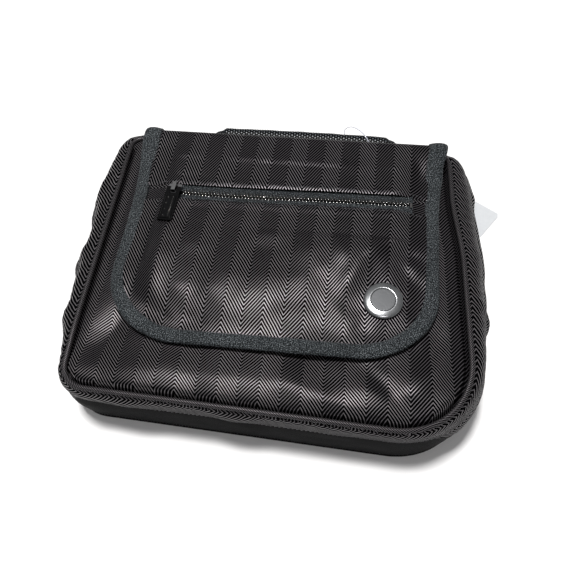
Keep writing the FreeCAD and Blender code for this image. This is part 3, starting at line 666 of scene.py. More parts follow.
def wall_points(s, t):
    """The side wall: s mm round the outline, t from the front seam (0) to the back one (1)."""
    x, y, nx, ny = outline_at(s)
    side, top, bottom = wall_bulge(x, y, nx, ny)
    full = np.sin(np.pi * t ** 0.8) ** 0.72
    strip = np.sin(np.pi * np.clip(t / STRIP_SHARE, 0, 1)) ** 0.7
    band = np.sin(np.pi * np.clip((t - STRIP_SHARE) / (1 - STRIP_SHARE), 0, 1)) ** 0.8
    scallop = 1 + 0.9 * rumple(s, 0 * s, 24, 5)
    tuck = 1.6 * bell(t, 0.07) * np.clip(-ny, 0, 1) ** 2
    out = (side + top) * full + bottom * (0.34 * strip * scallop + 0.3 * band) - tuck
    out = out + 3.0 * t * nx ** 2 - 1.5 * t * np.clip(-ny, 0, 1) ** 2
    settled_x, settled_y = slump(x, y)
    level = seam_level(y)
    hump = (0.4 + 2.2 * nx ** 2) * np.sin(np.pi * np.clip(t / 0.24, 0, 1)) ** 0.8
    drop = level + (BACK_LEVEL - level) * t + hump
    points = np.stack([settled_x + nx * out, settled_y + ny * out, drop], -1)
    held = np.sin(np.pi * np.clip(t, 0, 1)) ** 0.6
    long_folds = rumple(s * 0.35, t * 52, 9.5, 11)
    short_folds = rumple(s, t * 40, 13, 12) * 0.5 + rumple(s, t * 50, 6.5, 13) * 0.22
    sides = nx ** 2
    wave = (1.7 * long_folds + 1.3 * short_folds) * held * (0.2 + 0.8 * sides)
    pucker = 0.35 * np.sin(s * 2 * np.pi / 7.3 + 2.2 * rumple(s, 0 * s, 19, 14)) * bell(t, 0.16)
    dents = [[(run_to(side * HALF_WIDTH, y), below) for y, below in ends] + [height, width]
             for side, ends, height, width in WALL_DENTS]
    return points, wave + pucker + creases(s, t * 50, dents)


def wall_piece(name, s_ends, t_ends, look, thick, rows, pull, **rest):
    """A patch of the wall. t_ends are numbers or functions of s; pull is the cloth's stretch."""
    s_line = np.arange(s_ends[0], s_ends[1] + 0.9, 1.8)
    s_line = np.linspace(s_ends[0], s_ends[1], len(s_line))
    low, high = [t(s_line) if callable(t) else np.full_like(s_line, t) for t in t_ends]
    share = np.linspace(0, 1, rows)[:, None]
    t = low + (high - low) * share
    s = np.broadcast_to(s_line, t.shape)
    points, wave = wall_points(s, t)
    points = points + facing(points) * wave[..., None]
    across = np.cumsum(np.linalg.norm(np.diff(points, axis=0, prepend=points[:1]), axis=2), axis=0)
    uv = np.stack([across + low * 52 - 3.0, s], -1) * pull
    return cloth_piece(name, points, uv, thick, look, **rest)


def strip_edge(s):
    """Share of the wall's height that the herringbone strip covers, more at the corners."""
    _, _, _, ny = outline_at(s)
    return STRIP_SHARE + (0.97 - STRIP_SHARE) * (1 - smooth(-ny, 0.15, 0.92))


PANEL_CREASES = (
    ((-94, -50), (-117, -92), -2.5, 7.5), ((-104, -42), (-126, -70), 0.7, 8.0),
    ((88, -92), (118, -62), 2.2, 8.0), ((64, -78), (100, -106), -1.8, 5.5),
    ((100, -76), (114, -44), -1.8, 5.0), ((26, -96), (52, -102), 1.2, 6.0),
)


def panel_level(x, y):
    """Height of the front panel's face."""
    edge = HALF_WIDTH - np.abs(x)
    z = 56.4 + 1.2 * (1 - (x / 131) ** 2) * (1 - (y / 112) ** 2)
    z = z - 1.2 * (1 - smooth(edge, 0, 24)) - 2.0 * (1 - smooth(edge, 0, 8))
    line = np.arange(-120, 120, 1.0)
    low_roll = np.interp(-line, [64, 76, 89, 94, 97, 100, 103, 106, 109, 112],
                         [0, 0.9, 2.9, 3.5, 3.3, 2.9, 2.4, 1.7, 0.4, -1.6])
    low_roll = np.convolve(np.pad(low_roll, 1, "edge"), np.ones(3) / 3, "valid")
    z = z + np.interp(y - 0.04 * x, line, low_roll)
    loose = smooth(-y, -30, 60)
    waves = 1.5 * rumple(x, y * 0.6, 36, 21) + 0.6 * rumple(x, y, 15, 22)
    z = z + loose * smooth(edge, 2, 16) * waves + creases(x, y, PANEL_CREASES)
    return np.where(y > 70, np.minimum(z, 56.6), z)


def outline_half(y, half, low, high, low_corner, high_corner):
    """Half-width at height y of a rectangle with rounded corners."""
    below = np.clip((low + low_corner - y) / low_corner, 0, 1)
    above = np.clip((y - high + high_corner) / high_corner, 0, 1)
    cut = low_corner * (1 - np.sqrt(1 - below ** 2)) + high_corner * (1 - np.sqrt(1 - above ** 2))
    return half - cut


def rows_between(stops, step):
    """Ascending values through all the stops, at most step apart."""
    values = [stops[0]]
    for start, end in zip(stops, stops[1:]):
        count = max(1, math.ceil((end - start) / step))
        values += list(start + (end - start) * np.arange(1, count + 1) / count)
    return np.array(values)


SLOT_LOW, SLOT_HIGH = 83.0, 93.0
SLOT_LEFT, SLOT_RIGHT = -99.0, 112.0    # before the shell leans over


def shell():
    close_rows = [BOTTOM + 0.7 * k for k in range(9)]
    y_rows = rows_between(close_rows + [SLOT_LOW, SLOT_HIGH, 108, TOP], 2.0)
    slot_ends = [SLOT_LEFT / HALF_WIDTH, SLOT_RIGHT / HALF_WIDTH]
    shares = [1 - 0.8 * k / HALF_WIDTH for k in range(9)]
    u = rows_between([-share for share in shares] + slot_ends + shares[::-1], 2.0 / HALF_WIDTH)
    y = np.repeat(y_rows[:, None], len(u), 1)
    low_corner = np.where(u < 0, LEFT_LOW_CORNER, RIGHT_LOW_CORNER)
    half = outline_half(y, HALF_WIDTH, BOTTOM, TOP, low_corner, HIGH_CORNER)
    x = half * u
    rim = rim_distance(x, y)
    near = 1 - smooth(rim, 0.5, 5)
    groove = 4.4 * bell(rim - 2.5, 1.5) * (y < 100)
    z = panel_level(x, y) * (1 - near) + seam_level(y) * near - groove
    settled_x, settled_y = slump(x, y)
    points = np.stack([settled_x, settled_y, z], -1)
    uv = np.stack([x - COLUMN_EDGE, y * FRONT_PULL], -1)
    middle_x = (u[1:] + u[:-1]) / 2
    middle_y = (y_rows[1:] + y_rows[:-1]) / 2
    in_slot_x = (middle_x > slot_ends[0]) & (middle_x < slot_ends[1])
    hole = ((middle_y > SLOT_LOW) & (middle_y < SLOT_HIGH))[:, None] & in_slot_x[None]
    front = cloth_piece("front_cloth", points, uv, 1.6, "herringbone", hole=hole,
                        body="bag", replaces=["front_panel"])

    within = (slice(6, -6), slice(6, -6))       # the lining stops short of the seams
    inner = points[within] - (0, 0, 2.6)
    lining = cloth_piece("front_lining_cloth", inner, uv[within], 0.6, "lining_cloth",
                         hole=hole[within], body="bag", replaces=["front_lining"])

    lift = 0.9 * smooth(x, 60, 80) * smooth(y, 45, 62)
    under = 0.25 + lift + 0.35 * (1 + rumple(x, y, 40, 31)) * 0.5
    rise = 1 - smooth(rim, 0, 9)
    under = under * (1 - rise) + BACK_LEVEL * rise
    back_x = settled_x + 3.0 * np.sign(x) * smooth(np.abs(x), 60, 131)
    back = np.stack([back_x, settled_y, under], -1)[:, ::-1]
    piece = cloth_piece("back_cloth", back, uv[:, ::-1] * (-1, 1), 1.2, "herringbone",
                        body="bag", replaces=["back_panel"])

    board_top = np.stack([x * 0.92, y * 0.92, 0 * x + 4.6 + 0.2 * rumple(x, y, 30, 33)], -1)
    piece = cloth_piece("back_lining_cloth", board_top, uv, 0.5, "lining_cloth",
                        body="bag", replaces=["back_lining"])


LOW_WALL = (LEFT_LOW, RIGHT_LOW)
# Piece, ends, heights, look, thickness, rows, pull, CAD node, width of the cloth in metres.
WALLS = (
    ("side_cloth_left", (LEFT_TOP, LEFT_LOW), (0, 1), "herringbone", 1.4, 34, SIDE_PULL,
     "side_gusset_left", 0.072),
    ("side_cloth_right", (RIGHT_LOW, RIGHT_TOP), (0, 1), "herringbone", 1.4, 34, SIDE_PULL,
     "side_gusset_right", 0.072),
    ("bottom_strip_cloth", LOW_WALL, (0, strip_edge), "herringbone", 1.4, 20, 1.0,
     "bottom_strip", 0.019),
    ("bottom_band_cloth", LOW_WALL, (strip_edge, 1), "plain_nylon", 1.2, 22, 1.0,
     "bottom_band", 0.0325),
    ("top_cloth", (RIGHT_TOP, LEFT_TOP + ROUND), (0, 1), "herringbone", 1.2, 24, 1.0,
     "top_gusset", 0.056),
)


def walls():
    pieces = [wall_piece(*shape, body="bag", replaces=[node]) for *shape, node, _ in WALLS]


PIPING_WEAVE = 1.6    # the twill crowds together where it turns round the piping


def welt(name, t, out, lift, radius, look, replaces):
    """Piping in a seam of the shell."""
    s = np.arange(LEFT_TOP - 6, RIGHT_TOP + 6, 1.6)
    points, _ = wall_points(s, np.full_like(s, t))
    _, _, nx, ny = outline_at(s)
    points = points + np.stack([nx * out, ny * out, 0 * s + lift], -1)
    tube, faces, uv = swept_mesh(points, ring_profile(radius, radius, 10), (0, 0, 1))
    add_piece(name, tube, faces, uv * PIPING_WEAVE, look, body="bag", slot="herringbone",
              replaces=replaces)


def welts():
    welt("front_piping", 0.0, 0.3, 1.0, 1.8, "herringbone", ["front_welt"])
    welt("back_piping", 1.0, 0.6, -0.6, 1.5, "plain_nylon", ["back_welt"])


shell()
walls()
welts()


# ---------------------------------------------------------------- flap

FLAP_HALF, FLAP_LOW = 103.5, -66.0      # the cloth inside the binding
LEFT_CORNER, RIGHT_CORNER = 49.0, 42.0
BIND = 9.0
ZIP_LOW, FLAP_ZIP_Y, ZIP_HIGH = 41.5, 48.5, 55.5    # the flap's slot and its zip
FOLD_RADIUS, FOLD_FACE, FOLD_TOP = 7.4, 113.5, 67.3
FOLD_START = FOLD_FACE - FOLD_RADIUS
FOLD_LENGTH = FOLD_RADIUS * math.pi / 2
COVER_FOOT = 1.6
RUN_END = FOLD_START + FOLD_LENGTH + FOLD_TOP - FOLD_RADIUS - COVER_FOOT
FLAP_FLOOR = 61.6
PULL_ROOM = 67.9        # the flap stays below this where the pull slides over it


def zip_wander(x):
    """How far the flap's zip strays from a straight line, in y."""
    return 0.015 * x + 0.7 * np.sin(x / 34.0 - 0.6)


def zip_rise(x):
    return 65.65 + 0.08 * np.sin(x / 21.0 + 1.0)


FLAP_PROFILE = (        # y, and the flap's height there on its left and right
    (-68, 61.0, 61.2), (-65, 61.0, 61.0), (-61, 61.9, 61.3), (-56, 63.3, 62.2), (-50, 64.9, 63.2),
    (-43, 66.8, 64.0), (-35, 68.5, 65.2), (-25, 69.4, 66.8), (-10, 69.3, 69.2), (5, 69.0, 71.4),
    (20, 68.5, 70.6), (34, 67.4, 68.4), (41.5, 66.9, 67.6), (48.5, 66.6, 66.8), (55.5, 66.9, 67.1),
    (66, 67.9, 68.4), (82, 68.2, 68.7), (96, 67.6, 67.9), (112, 67.0, 67.0),
)
FLAP_CREASES = (
    ((-97, 22), (-93, -44), -3.0, 6.0), ((-82, 30), (-80, -40), 1.3, 6.0),
    ((50, -28), (60, -2), 1.6, 6.0), ((60, -2), (80, 17), 1.7, 6.0),
    ((76, 17), (100, 15), 1.6, 4.5), ((76, 6), (99, 3), -1.8, 4.5),
    ((80, 1), (98, -18), -1.4, 6.0), ((90, -4), (102, -12), 0.9, 6.0),
    ((80, -40), (98, -42), 1.2, 6.0), ((64, -50), (62, -62), -1.6, 5.0),
    ((40, -34), (56, -56), 1.3, 7.0), ((30, 30), (62, -30), 0.6, 10.0),
)
UPPER_CREASES = (       # these die out towards the fold
    ((97, 97), (99, 66), -2.6, 6.0), ((-48, 92), (-44, 62), 1.0, 6.0),
    ((-20, 96), (-17, 66), 0.9, 6.0),
)


def excess(z, level, sharpness):
    """How far z is above level, with a soft start from 0."""
    return np.logaddexp(0, (z - level) * sharpness) / sharpness


def flap_level(x, y):
    """Height of the flap's face where it lies on the bag."""
    grid = np.arange(-70, 114, 1.0)
    even = np.ones(7) / 7
    stops, *sides = np.array(FLAP_PROFILE).T
    curves = [np.convolve(np.pad(np.interp(grid, stops, side), 3, "edge"), even, "valid")
              for side in sides]
    share = smooth(x + 0.35 * (20 - y), 5, 88)
    z = np.interp(y, grid, curves[0]) * (1 - share) + np.interp(y, grid, curves[1]) * share
    edge = flap_half(y, x) - np.abs(x)
    free = 1 - smooth(y, 98, 108)
    z = z - free * 4.6 * (1 - smooth(edge, 0, 26)) * (0.55 + 0.45 * smooth(y, -60, -10))
    flat = 1 - 0.8 * bell(y - FLAP_ZIP_Y, 9)
    loose = free * smooth(edge, 1, 14) * flat
    z = z + loose * (1.1 * rumple(x, y * 0.5, 27, 41) + 0.6 * rumple(x, y, 12, 42))
    z = z + creases(x, y, FLAP_CREASES) + free * creases(x, y, UPPER_CREASES)
    z = FLAP_FLOOR + excess(z, FLAP_FLOOR, 1.6)
    swept = smooth(y, 13, 17) * (1 - smooth(y, 78, 84)) * smooth(x + 0 * y, -96, -90)
    return z - swept * excess(z, PULL_ROOM, 3.0)


def flare(run, side):
    """How far a side of the flap strays outward on its way up, over the fold and down."""
    left = 7.5 * smooth(run, 0, 115)
    right = 1.5 * smooth(run, 40, 88) + 3.0 * smooth(run, 88, 108)
    tuck = 1.5 * smooth(run, FOLD_START + 20, RUN_END)
    return np.where(np.asarray(side) < 0, left, right) - tuck


def flap_half(run, side):
    """Half-width of the cloth, run mm up the flap, on the side that side's sign tells."""
    corner = np.where(np.asarray(side) < 0, LEFT_CORNER, RIGHT_CORNER)
    return outline_half(run, FLAP_HALF, FLAP_LOW, 400, corner, 1) + flare(run, side)


def hem_lift(x, run):
    """The flap's lower edge runs slightly uphill to the right."""
    return 2.4 * smooth(x, 20, 95) * (1 - smooth(run, FLAP_LOW, -20))


FLAT_END = 30.0     # how far short of the fold's start the flap's own height still rules


def fold_point(x, run):
    """The flap's face carried over the fold: run is y on the flap, and length beyond it."""
    level = flap_level(x, np.minimum(run, FOLD_START))
    settle = smooth(run, FOLD_START - FLAT_END, FOLD_START)
    level = level * (1 - settle) + FOLD_TOP * settle
    angle = np.clip((run - FOLD_START) / FOLD_RADIUS, 0, math.pi / 2)
    over = np.clip(run - FOLD_START - FOLD_LENGTH, 0, None)
    y = np.minimum(run, FOLD_START) + FOLD_RADIUS * np.sin(angle)
    z = level - FOLD_RADIUS * (1 - np.cos(angle)) - over
    return y, z


def flap_sheet(name, run_stops, thick, look, pull, fold_low=0.0, fold_high=0.0, **rest):
    """A piece of the flap's face between two runs, its hemmed edges rolled and thickened."""
    run = rows_between(run_stops, 1.9)
    u = rows_between([-1, 1], 1.9 / FLAP_HALF)
    r = np.repeat(run[:, None], len(u), 1)
    x = flap_half(r, u) * u
    near_zip = bell(r - FLAP_ZIP_Y, 16)
    shifted = r + zip_wander(x) * near_zip * (r < 90) + hem_lift(x, r)
    y, z = fold_point(x, shifted)
    plump = np.zeros_like(z)
    for edge_run, size in ((run[0], fold_low), (run[-1], fold_high)):
        away = np.abs(r - edge_run)
        plump = plump + size * (smooth(away, -0.8, 1.6) - smooth(away, 4.5, 7.0))
    z = z + plump
    cover = smooth(r, FOLD_START + FOLD_LENGTH, FOLD_START + FOLD_LENGTH + 12)
    y = y + cover * 0.5 * rumple(x, r, 26, 44)
    points = np.stack([x, y, z], -1)
    uv = np.stack([x - COLUMN_EDGE, r * pull], -1)
    return cloth_piece(name, points, uv, thick + plump * 0.8, look, **rest)


def edge_of_flap():
    """Centre line of the binding, the face's direction and the tape's spread along it.

    It runs from the cover's foot on the left, over the fold, round the flap and back.
    """
    low, half = FLAP_LOW - BIND / 2, FLAP_HALF + BIND / 2
    sides = []
    for sign, cloth_corner in ((-1, LEFT_CORNER), (1, RIGHT_CORNER)):
        corner = cloth_corner + BIND / 2
        angle = np.radians(np.linspace(-90, 0, 25))
        x = half - corner + corner * np.cos(angle)
        run = low + corner + corner * np.sin(angle)
        straight = rows_between([low + corner + 3, FOLD_START - 2, RUN_END], 3.0)
        x, run = np.append(x, half + 0 * straight), np.append(run, straight)
        x = sign * (x + flare(run, sign))
        sides.append(np.stack([x, run + hem_lift(x, run)], 1))
    line = resample(np.vstack([sides[0][::-1], sides[1]]), 1.5)
    x, run = line[:, 0], line[:, 1]
    inner = 0.955
    y, z = fold_point(x * inner, np.maximum(run, FLAP_LOW + 1))
    y = np.where(run < FOLD_START, run, y)
    angle = np.clip((run - FOLD_START) / FOLD_RADIUS, 0, math.pi / 2)
    up = np.stack([0 * angle, np.sin(angle), np.cos(angle)], 1)
    floor_level = 61.2 + 0.5 * np.sin(run / 17.0) * (run < 80) + 0.3 * rumple(x, run, 22, 47)
    on_flap = 1 - smooth(run, 60, FOLD_START)
    z = z * (1 - on_flap) + (floor_level + 0.8) * on_flap
    return np.stack([x, y, z], 1), up, 1 + 0.36 * smooth(run, 50, 100)


def binding_profile():
    """Half a tape each side of the edge, plump along its middle: (sideways, up)."""
    top = [(-5.6, 0.15), (-5.2, 0.95), (-3.8, 1.5), (-1.8, 2.0), (0.4, 2.2), (2.5, 1.95),
           (4.1, 1.2), (4.8, 0.0)]
    under = [(4.4, -0.9), (2.8, -1.35), (0.5, -1.5), (-2.0, -1.4), (-4.6, -1.2), (-5.4, -0.6)]
    return np.array(top + under)[::-1]


def flap_faces():
    """The cloth above the zip, carried over the fold as the top cover, and the cloth below it."""
    upper = flap_sheet("flap_and_cover_cloth", [ZIP_HIGH, 60, 104, 122, RUN_END], 1.2,
                       "herringbone", UPPER_PULL, fold_low=0.55,
                       replaces=["flap_upper", "top_cover"])
    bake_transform(upper)
    lower = flap_sheet("flap_lower_cloth", [FLAP_LOW, FLAP_LOW + 2, FLAP_LOW + 8, ZIP_LOW], 0.7,
                       "herringbone", LOWER_PULL, fold_high=0.6, body="flap",
                       replaces=["flap_lower"])


def flap_binding():
    """The tape round the flap's edge and its row of stitches."""
    path, up, spread = edge_of_flap()
    ripple = 1 + 0.05 * rumple(lengths(path), 0 * path[:, 0], 9, 48)
    profile = binding_profile()[None] * np.stack([ripple * spread, ripple], 1)[:, None]
    points, faces, uv = swept_mesh(path, profile, up)
    tape = add_piece("flap_binding_tape", points, faces, uv, "binding_tape",
                     replaces=["flap_binding", "cover_binding_left", "cover_binding_right"])
    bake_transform(tape)
    side, rise = frames(path, up)
    seam = path - side * (4.6 * spread)[:, None] + rise * 1.2
    thread = add_piece("flap_binding_stitches", *stitch_mesh(seam, (0, 0.3, 1), 3.2, 0.7, 0.24),
                       "sewing_thread", slot="binding_tape")
    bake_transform(thread)


def flap_lining():
    run = rows_between([FLAP_LOW, FLAP_LOW + 3, 96, 107], 3.0)
    u = rows_between([-1, 1], 3.0 / FLAP_HALF)
    r = np.repeat(run[:, None], len(u), 1)
    x = (flap_half(np.minimum(r, 104), u) + 1.0) * u
    close = smooth(r, 95, 106.5)
    z = (60.4 + 0.35 * rumple(x, r, 30, 45)) * (1 - close) + 65.4 * close
    points = np.stack([x, r + hem_lift(x, r) - 0.8 * close, z], -1)[:, ::-1]
    lining = cloth_piece("flap_lining_cloth", points, np.stack([x, r], -1)[:, ::-1], 0.5,
                         "lining_cloth", body="flap", replaces=["flap_lining"])


def zip_tabs():
    """A folded tab over each end of the flap's zip."""
    for name, sign, inner_x in (("left", -1, -89.5), ("right", 1, 92.5)):
        u = np.linspace(0, 1, 9)
        v = rows_between([ZIP_LOW - 0.5, ZIP_HIGH + 0.5], 1.2)
        x = inner_x + (sign * 104.5 - inner_x) * (u if sign > 0 else u[::-1])
        x, y = np.meshgrid(x, v)
        z = flap_level(x, y) - 0.35 + 0.55 * bell(np.abs(x - inner_x) - 2.2, 1.6)
        points = np.stack([x, y + zip_wander(x), z], -1)
        tab = cloth_piece(f"flap_zip_tab_{name}", points, np.stack([y, x], -1), 0.9, "herringbone",
                          body="flap", replaces=[f"flap_zip_end_{name}"])


def zip_edge_stitches(name, edge_run, offset, lift):
    x = np.linspace(-101, 101, 120)
    y, z = fold_point(x, np.full_like(x, edge_run) + zip_wander(x) + offset)
    path = np.stack([x, y, z + lift], 1)
    add_piece(name, *stitch_mesh(path, (0, 0, 1), 2.7, 0.68, 0.26), "sewing_thread",
              body="flap", slot="herringbone")


# ---------------------------------------------------------------- zips


TOOTH_PITCH = 2.5
TAPE_INNER, TAPE_OUTER = 1.6, 10.0      # edges of a tape, from the zip's middle
MAIN_ZIP_Y, MAIN_ZIP_LEVEL = 88, 56.75


def tooth_mesh(centre, direction, wander):
    """One moulded metal tooth: a waisted bar with a rounded head, clamped on the tape."""
    stations = np.array([-2.9, -2.3, -1.2, -0.3, 0.45, 0.75])
    wide = np.array([0.46, 0.52, 0.42, 0.40, 0.50, 0.30])
    high = np.array([0.62, 0.88, 0.86, 0.80, 0.78, 0.45])
    angle = np.radians([22, 68, 112, 158, 202, 248, 292, 338])
    ring = np.stack([np.cos(angle), np.sin(angle)], 1) * 1.12
    rings = []
    for at, half, tall in zip(stations, wide, high):
        y = np.full(8, at * direction)
        rings.append(np.stack([ring[:, 0] * half, y, ring[:, 1] * tall], 1))
    points = np.concatenate(rings) + centre
    points[:, 1] += wander
    faces = []
    for row in range(5):
        for k in range(8):
            a, b = row * 8 + k, row * 8 + (k + 1) % 8
            faces.append((a, b, b + 8, a + 8) if direction < 0 else (a, a + 8, b + 8, b))
    ends = [tuple(range(7, -1, -1)), tuple(range(40, 48))]
    faces += ends if direction < 0 else [tuple(reversed(end)) for end in ends]
    return points, faces, np.zeros((48, 2))


def zip_chain(prefix, body, x_ends, y, level, wander, replaces):
    """Tapes and teeth of a closed zip along x; level and wander are functions of x."""
    for side, sign in (("upper", 1), ("lower", -1)):
        xs = np.arange(*x_ends, TOOTH_PITCH) + (TOOTH_PITCH / 2 if sign > 0 else 0)
        teeth = [tooth_mesh((x, y, float(level(x))), -sign, float(wander(x))) for x in xs]
        add_piece(f"{prefix}_teeth_{side}_row", *joined(teeth), "gunmetal", body=body,
                  replaces=[f"{replaces}_teeth_{side}"])
        v = rows_between([TAPE_INNER, TAPE_INNER + 1, TAPE_OUTER], 0.8) * sign
        v = v if sign > 0 else v[::-1]
        u = rows_between([x_ends[0] - 13, x_ends[1] + 2], 2.0)
        gx, gy = np.meshgrid(u, v)
        bead = 0.75 * bell(np.abs(gy) - 3.0, 0.6)
        points = np.stack([gx, y + gy + wander(gx), level(gx) - 0.45 + bead], -1)
        cloth_piece(f"{prefix}_tape_{side}_cloth", points, np.stack([gy, gx], -1), 0.5,
                    "zip_tape", body=body, replaces=[f"{replaces}_tape_{side}"])


def zips():
    zip_chain("flap_zip", "flap", (-76, 91.5), FLAP_ZIP_Y, zip_rise, zip_wander, "flap")
    zip_chain("main_zip", "bag", (-87.5, 97), MAIN_ZIP_Y, lambda x: MAIN_ZIP_LEVEL + 0 * x,
              lambda x: 0 * x, "main")
    zip_edge_stitches("flap_stitches_above", ZIP_HIGH, 2.4, 0.62)
    zip_edge_stitches("flap_stitches_below", ZIP_LOW, -2.2, 0.66)


flap_faces()
flap_binding()
flap_lining()
zip_tabs()
zips()


# ---------------------------------------------------------------- CAD parts that stay


def refine(node, look, softened):
    """Give a CAD node its finish and round its edges a little."""
    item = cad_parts[node]
    item.data.materials.clear()
    item.data.materials.append(LOOKS[look])
    edge = item.modifiers.new("softened", "BEVEL")
    edge.width = softened * MM
    edge.segments = 3
    edge.limit_method = "ANGLE"
    edge.angle_limit = math.radians(40)
    edge.use_clamp_overlap = True
    edge.harden_normals = True


for node, look, softened in (
    ("back_board", "board", 0.2),
    ("flap_slider", "slider_nickel", 0.3),
    ("flap_slider_bridge", "slider_nickel", 0.3),
    ("main_slider", "slider_nickel", 0.3),
    ("main_pull", "black_enamel", 0.3),
    ("main_zip_stops", "gunmetal", 0.15),
    ("flap_zip_stops", "gunmetal", 0.15),
    ("front_magnet", "magnet_steel", 0.25),
    ("flap_magnet", "magnet_steel", 0.25),
    ("badge_washer", "magnet_steel", 0.15),
    ("hook_pin", "magnet_steel", 0.2),
    ("hook_bracket", "black_plastic", 0.25),
    ("hanging_hook", "black_plastic", 0.9),
    ("tag_lock", "clear_nylon", 0.3),
):
    refine(node, look, softened)


# ---------------------------------------------------------------- badge


def turned_mesh(profile, count):
    """A disc turned from (radius, height) points."""
    angle = np.linspace(0, 2 * np.pi, count, endpoint=False)
    points = np.concatenate([
        np.stack([radius * np.cos(angle), radius * np.sin(angle), np.full(count, height)], 1)
        for radius, height in profile])
    return points, capped_rings(len(profile), count), points[:, :2]


BADGE_X, BADGE_Y = 76.0, -32.0
BADGE_TILT = math.radians(6)
BADGE_RIM = (
    (12.2, -0.4), (12.95, 0.0), (13.05, 0.6), (12.9, 1.2), (12.55, 1.7), (12.0, 2.06),
    (11.2, 2.3), (10.3, 2.49), (9.4, 2.66), (8.8, 2.77), (8.4, 2.8), (8.2, 2.66),
    (8.15, 2.3), (7.8, 2.2),
)


def badge_piece(name, profile, count, look, node):
    """A disc tilted about X to lie on the flap."""
    points, faces, uv = turned_mesh(profile, count)
    turn = np.array(Matrix.Rotation(BADGE_TILT, 3, "X"))
    level = float(flap_level(np.array(BADGE_X), np.array(BADGE_Y))) + 0.1
    add_piece(name, points @ turn.T + (BADGE_X, BADGE_Y, level), faces, uv, look,
              body="flap", replaces=[node])


def badge():
    badge_piece("badge_rim", BADGE_RIM, 96, "satin_silver", "badge_disc")
    dome = [(r, 2.47 + 0.006 * (64 - r * r) ** 0.5) for r in np.arange(7.6, 0.3, -0.4)]
    badge_piece("badge_centre", [(8.1, 2.0), (8.05, 2.35), (7.9, 2.45)] + dome, 120,
                "inlay_silver", "badge_inlay")


# ---------------------------------------------------------------- pull tab


STUD = ((0.34, 0), (0.32, 0.1), (0.22, 0.18), (0.04, 0.2))


def pull():
    refine("pull_tab", "black_enamel", 0.35)
    refine("pull_inlay", "black_enamel", 0.15)
    low, high = box_mm("pull_inlay")
    middle_x, top = (low[0] + high[0]) / 2, high[2]
    studs = []
    for row, y in enumerate(np.arange(low[1] + 2.2, high[1] - 1.6, 1.9)):
        for column in (1,) if row % 3 else (-1, 1):
            points, faces, uv = turned_mesh(STUD, 10)
            studs.append((points + (middle_x + column * 1.9, y, top - 0.02), faces, uv))
    half = (high[0] - low[0] - 0.9) / 2
    rim = [(middle_x + side * half, y, top + 0.05) for side, y in (
        (-1, low[1] + 0.6), (1, low[1] + 0.6), (1, high[1] - 0.6), (-1, high[1] - 0.6))]
    loop = resample(rim + rim[:1], 0.6)
    swept_piece("pull_rim", loop, ring_profile(0.3, 0.3, 8), (0, 0, 1), "black_enamel",
                body="flap_pull")
    add_piece("pull_studs", *joined(studs), "gunmetal", body="flap_pull")


# ---------------------------------------------------------------- carry handle

GRIP_ENDS = (-67.0, 75.0)
HANDLE_Y, HANDLE_Z = 138.0, 37.0
HINGE_Y, FOOT_RADIUS = 122.8, 6.7       # the handle swings about this line
GRIP_SIDES = 84
SEAM_ANGLE = math.radians(250)          # of the grip's seam, round its section
PATCH_HEM = 2.6


def grip():
    """The padded sleeve, studded with dots, and its seam."""
    start, end = GRIP_ENDS
    x = rows_between([start, start + 2.5, end - 2.5, end], 0.45)
    ends = np.minimum(x - start, end - x)
    swell = 6.1 * (0.80 + 0.20 * smooth(ends, 0, 2.4))
    belly = 0.45 * np.sin(np.pi * (x - start) / (end - start))
    swell = swell + belly + 0.16 * rumple(x, 0 * x, 9, 51)
    path = np.stack([x, np.full_like(x, HANDLE_Y), HANDLE_Z + 0.5 * rumple(x, 0 * x, 45, 52)], 1)
    angle = np.linspace(0, 2 * np.pi, GRIP_SIDES, endpoint=False)
    ring = np.stack([np.cos(angle), np.sin(angle)], 1)
    groove = 1 - 0.09 * bell(np.abs(angle - SEAM_ANGLE), 0.07)
    profile = ring[None] * groove[None, :, None] * swell[:, None, None]
    points, faces, uv = swept_mesh(path, profile, (0, 0, 1))
    around, row = uv.T / STUD_PITCH
    cell_a = np.mod(around + 0.5 * np.mod(np.floor(row), 2), 1) - 0.5
    cell_b = np.mod(row, 1) - 0.5
    dome = np.clip(1 - (np.hypot(cell_a, cell_b) / 0.4) ** 2, 0, 1)
    outward = points - np.repeat(path, GRIP_SIDES, axis=0)
    outward /= np.linalg.norm(outward, axis=1, keepdims=True)
    inside = smooth(np.repeat(ends, GRIP_SIDES), 1.5, 4)
    points = points + outward * (0.24 * dome * inside)[:, None]
    sleeve = add_piece("grip_sleeve", points, faces, uv, "grip_leatherette",
                       body="handle", replaces=["handle_grip"])
    seam = path[4:-4] + (0, 6.5 * math.cos(SEAM_ANGLE), 6.2 * math.sin(SEAM_ANGLE))
    add_piece("grip_seam_stitches", *stitch_mesh(seam, (0, -0.4, -1), 3.4, 0.7, 0.26),
              "sewing_thread", body="handle", slot="grip_leatherette")


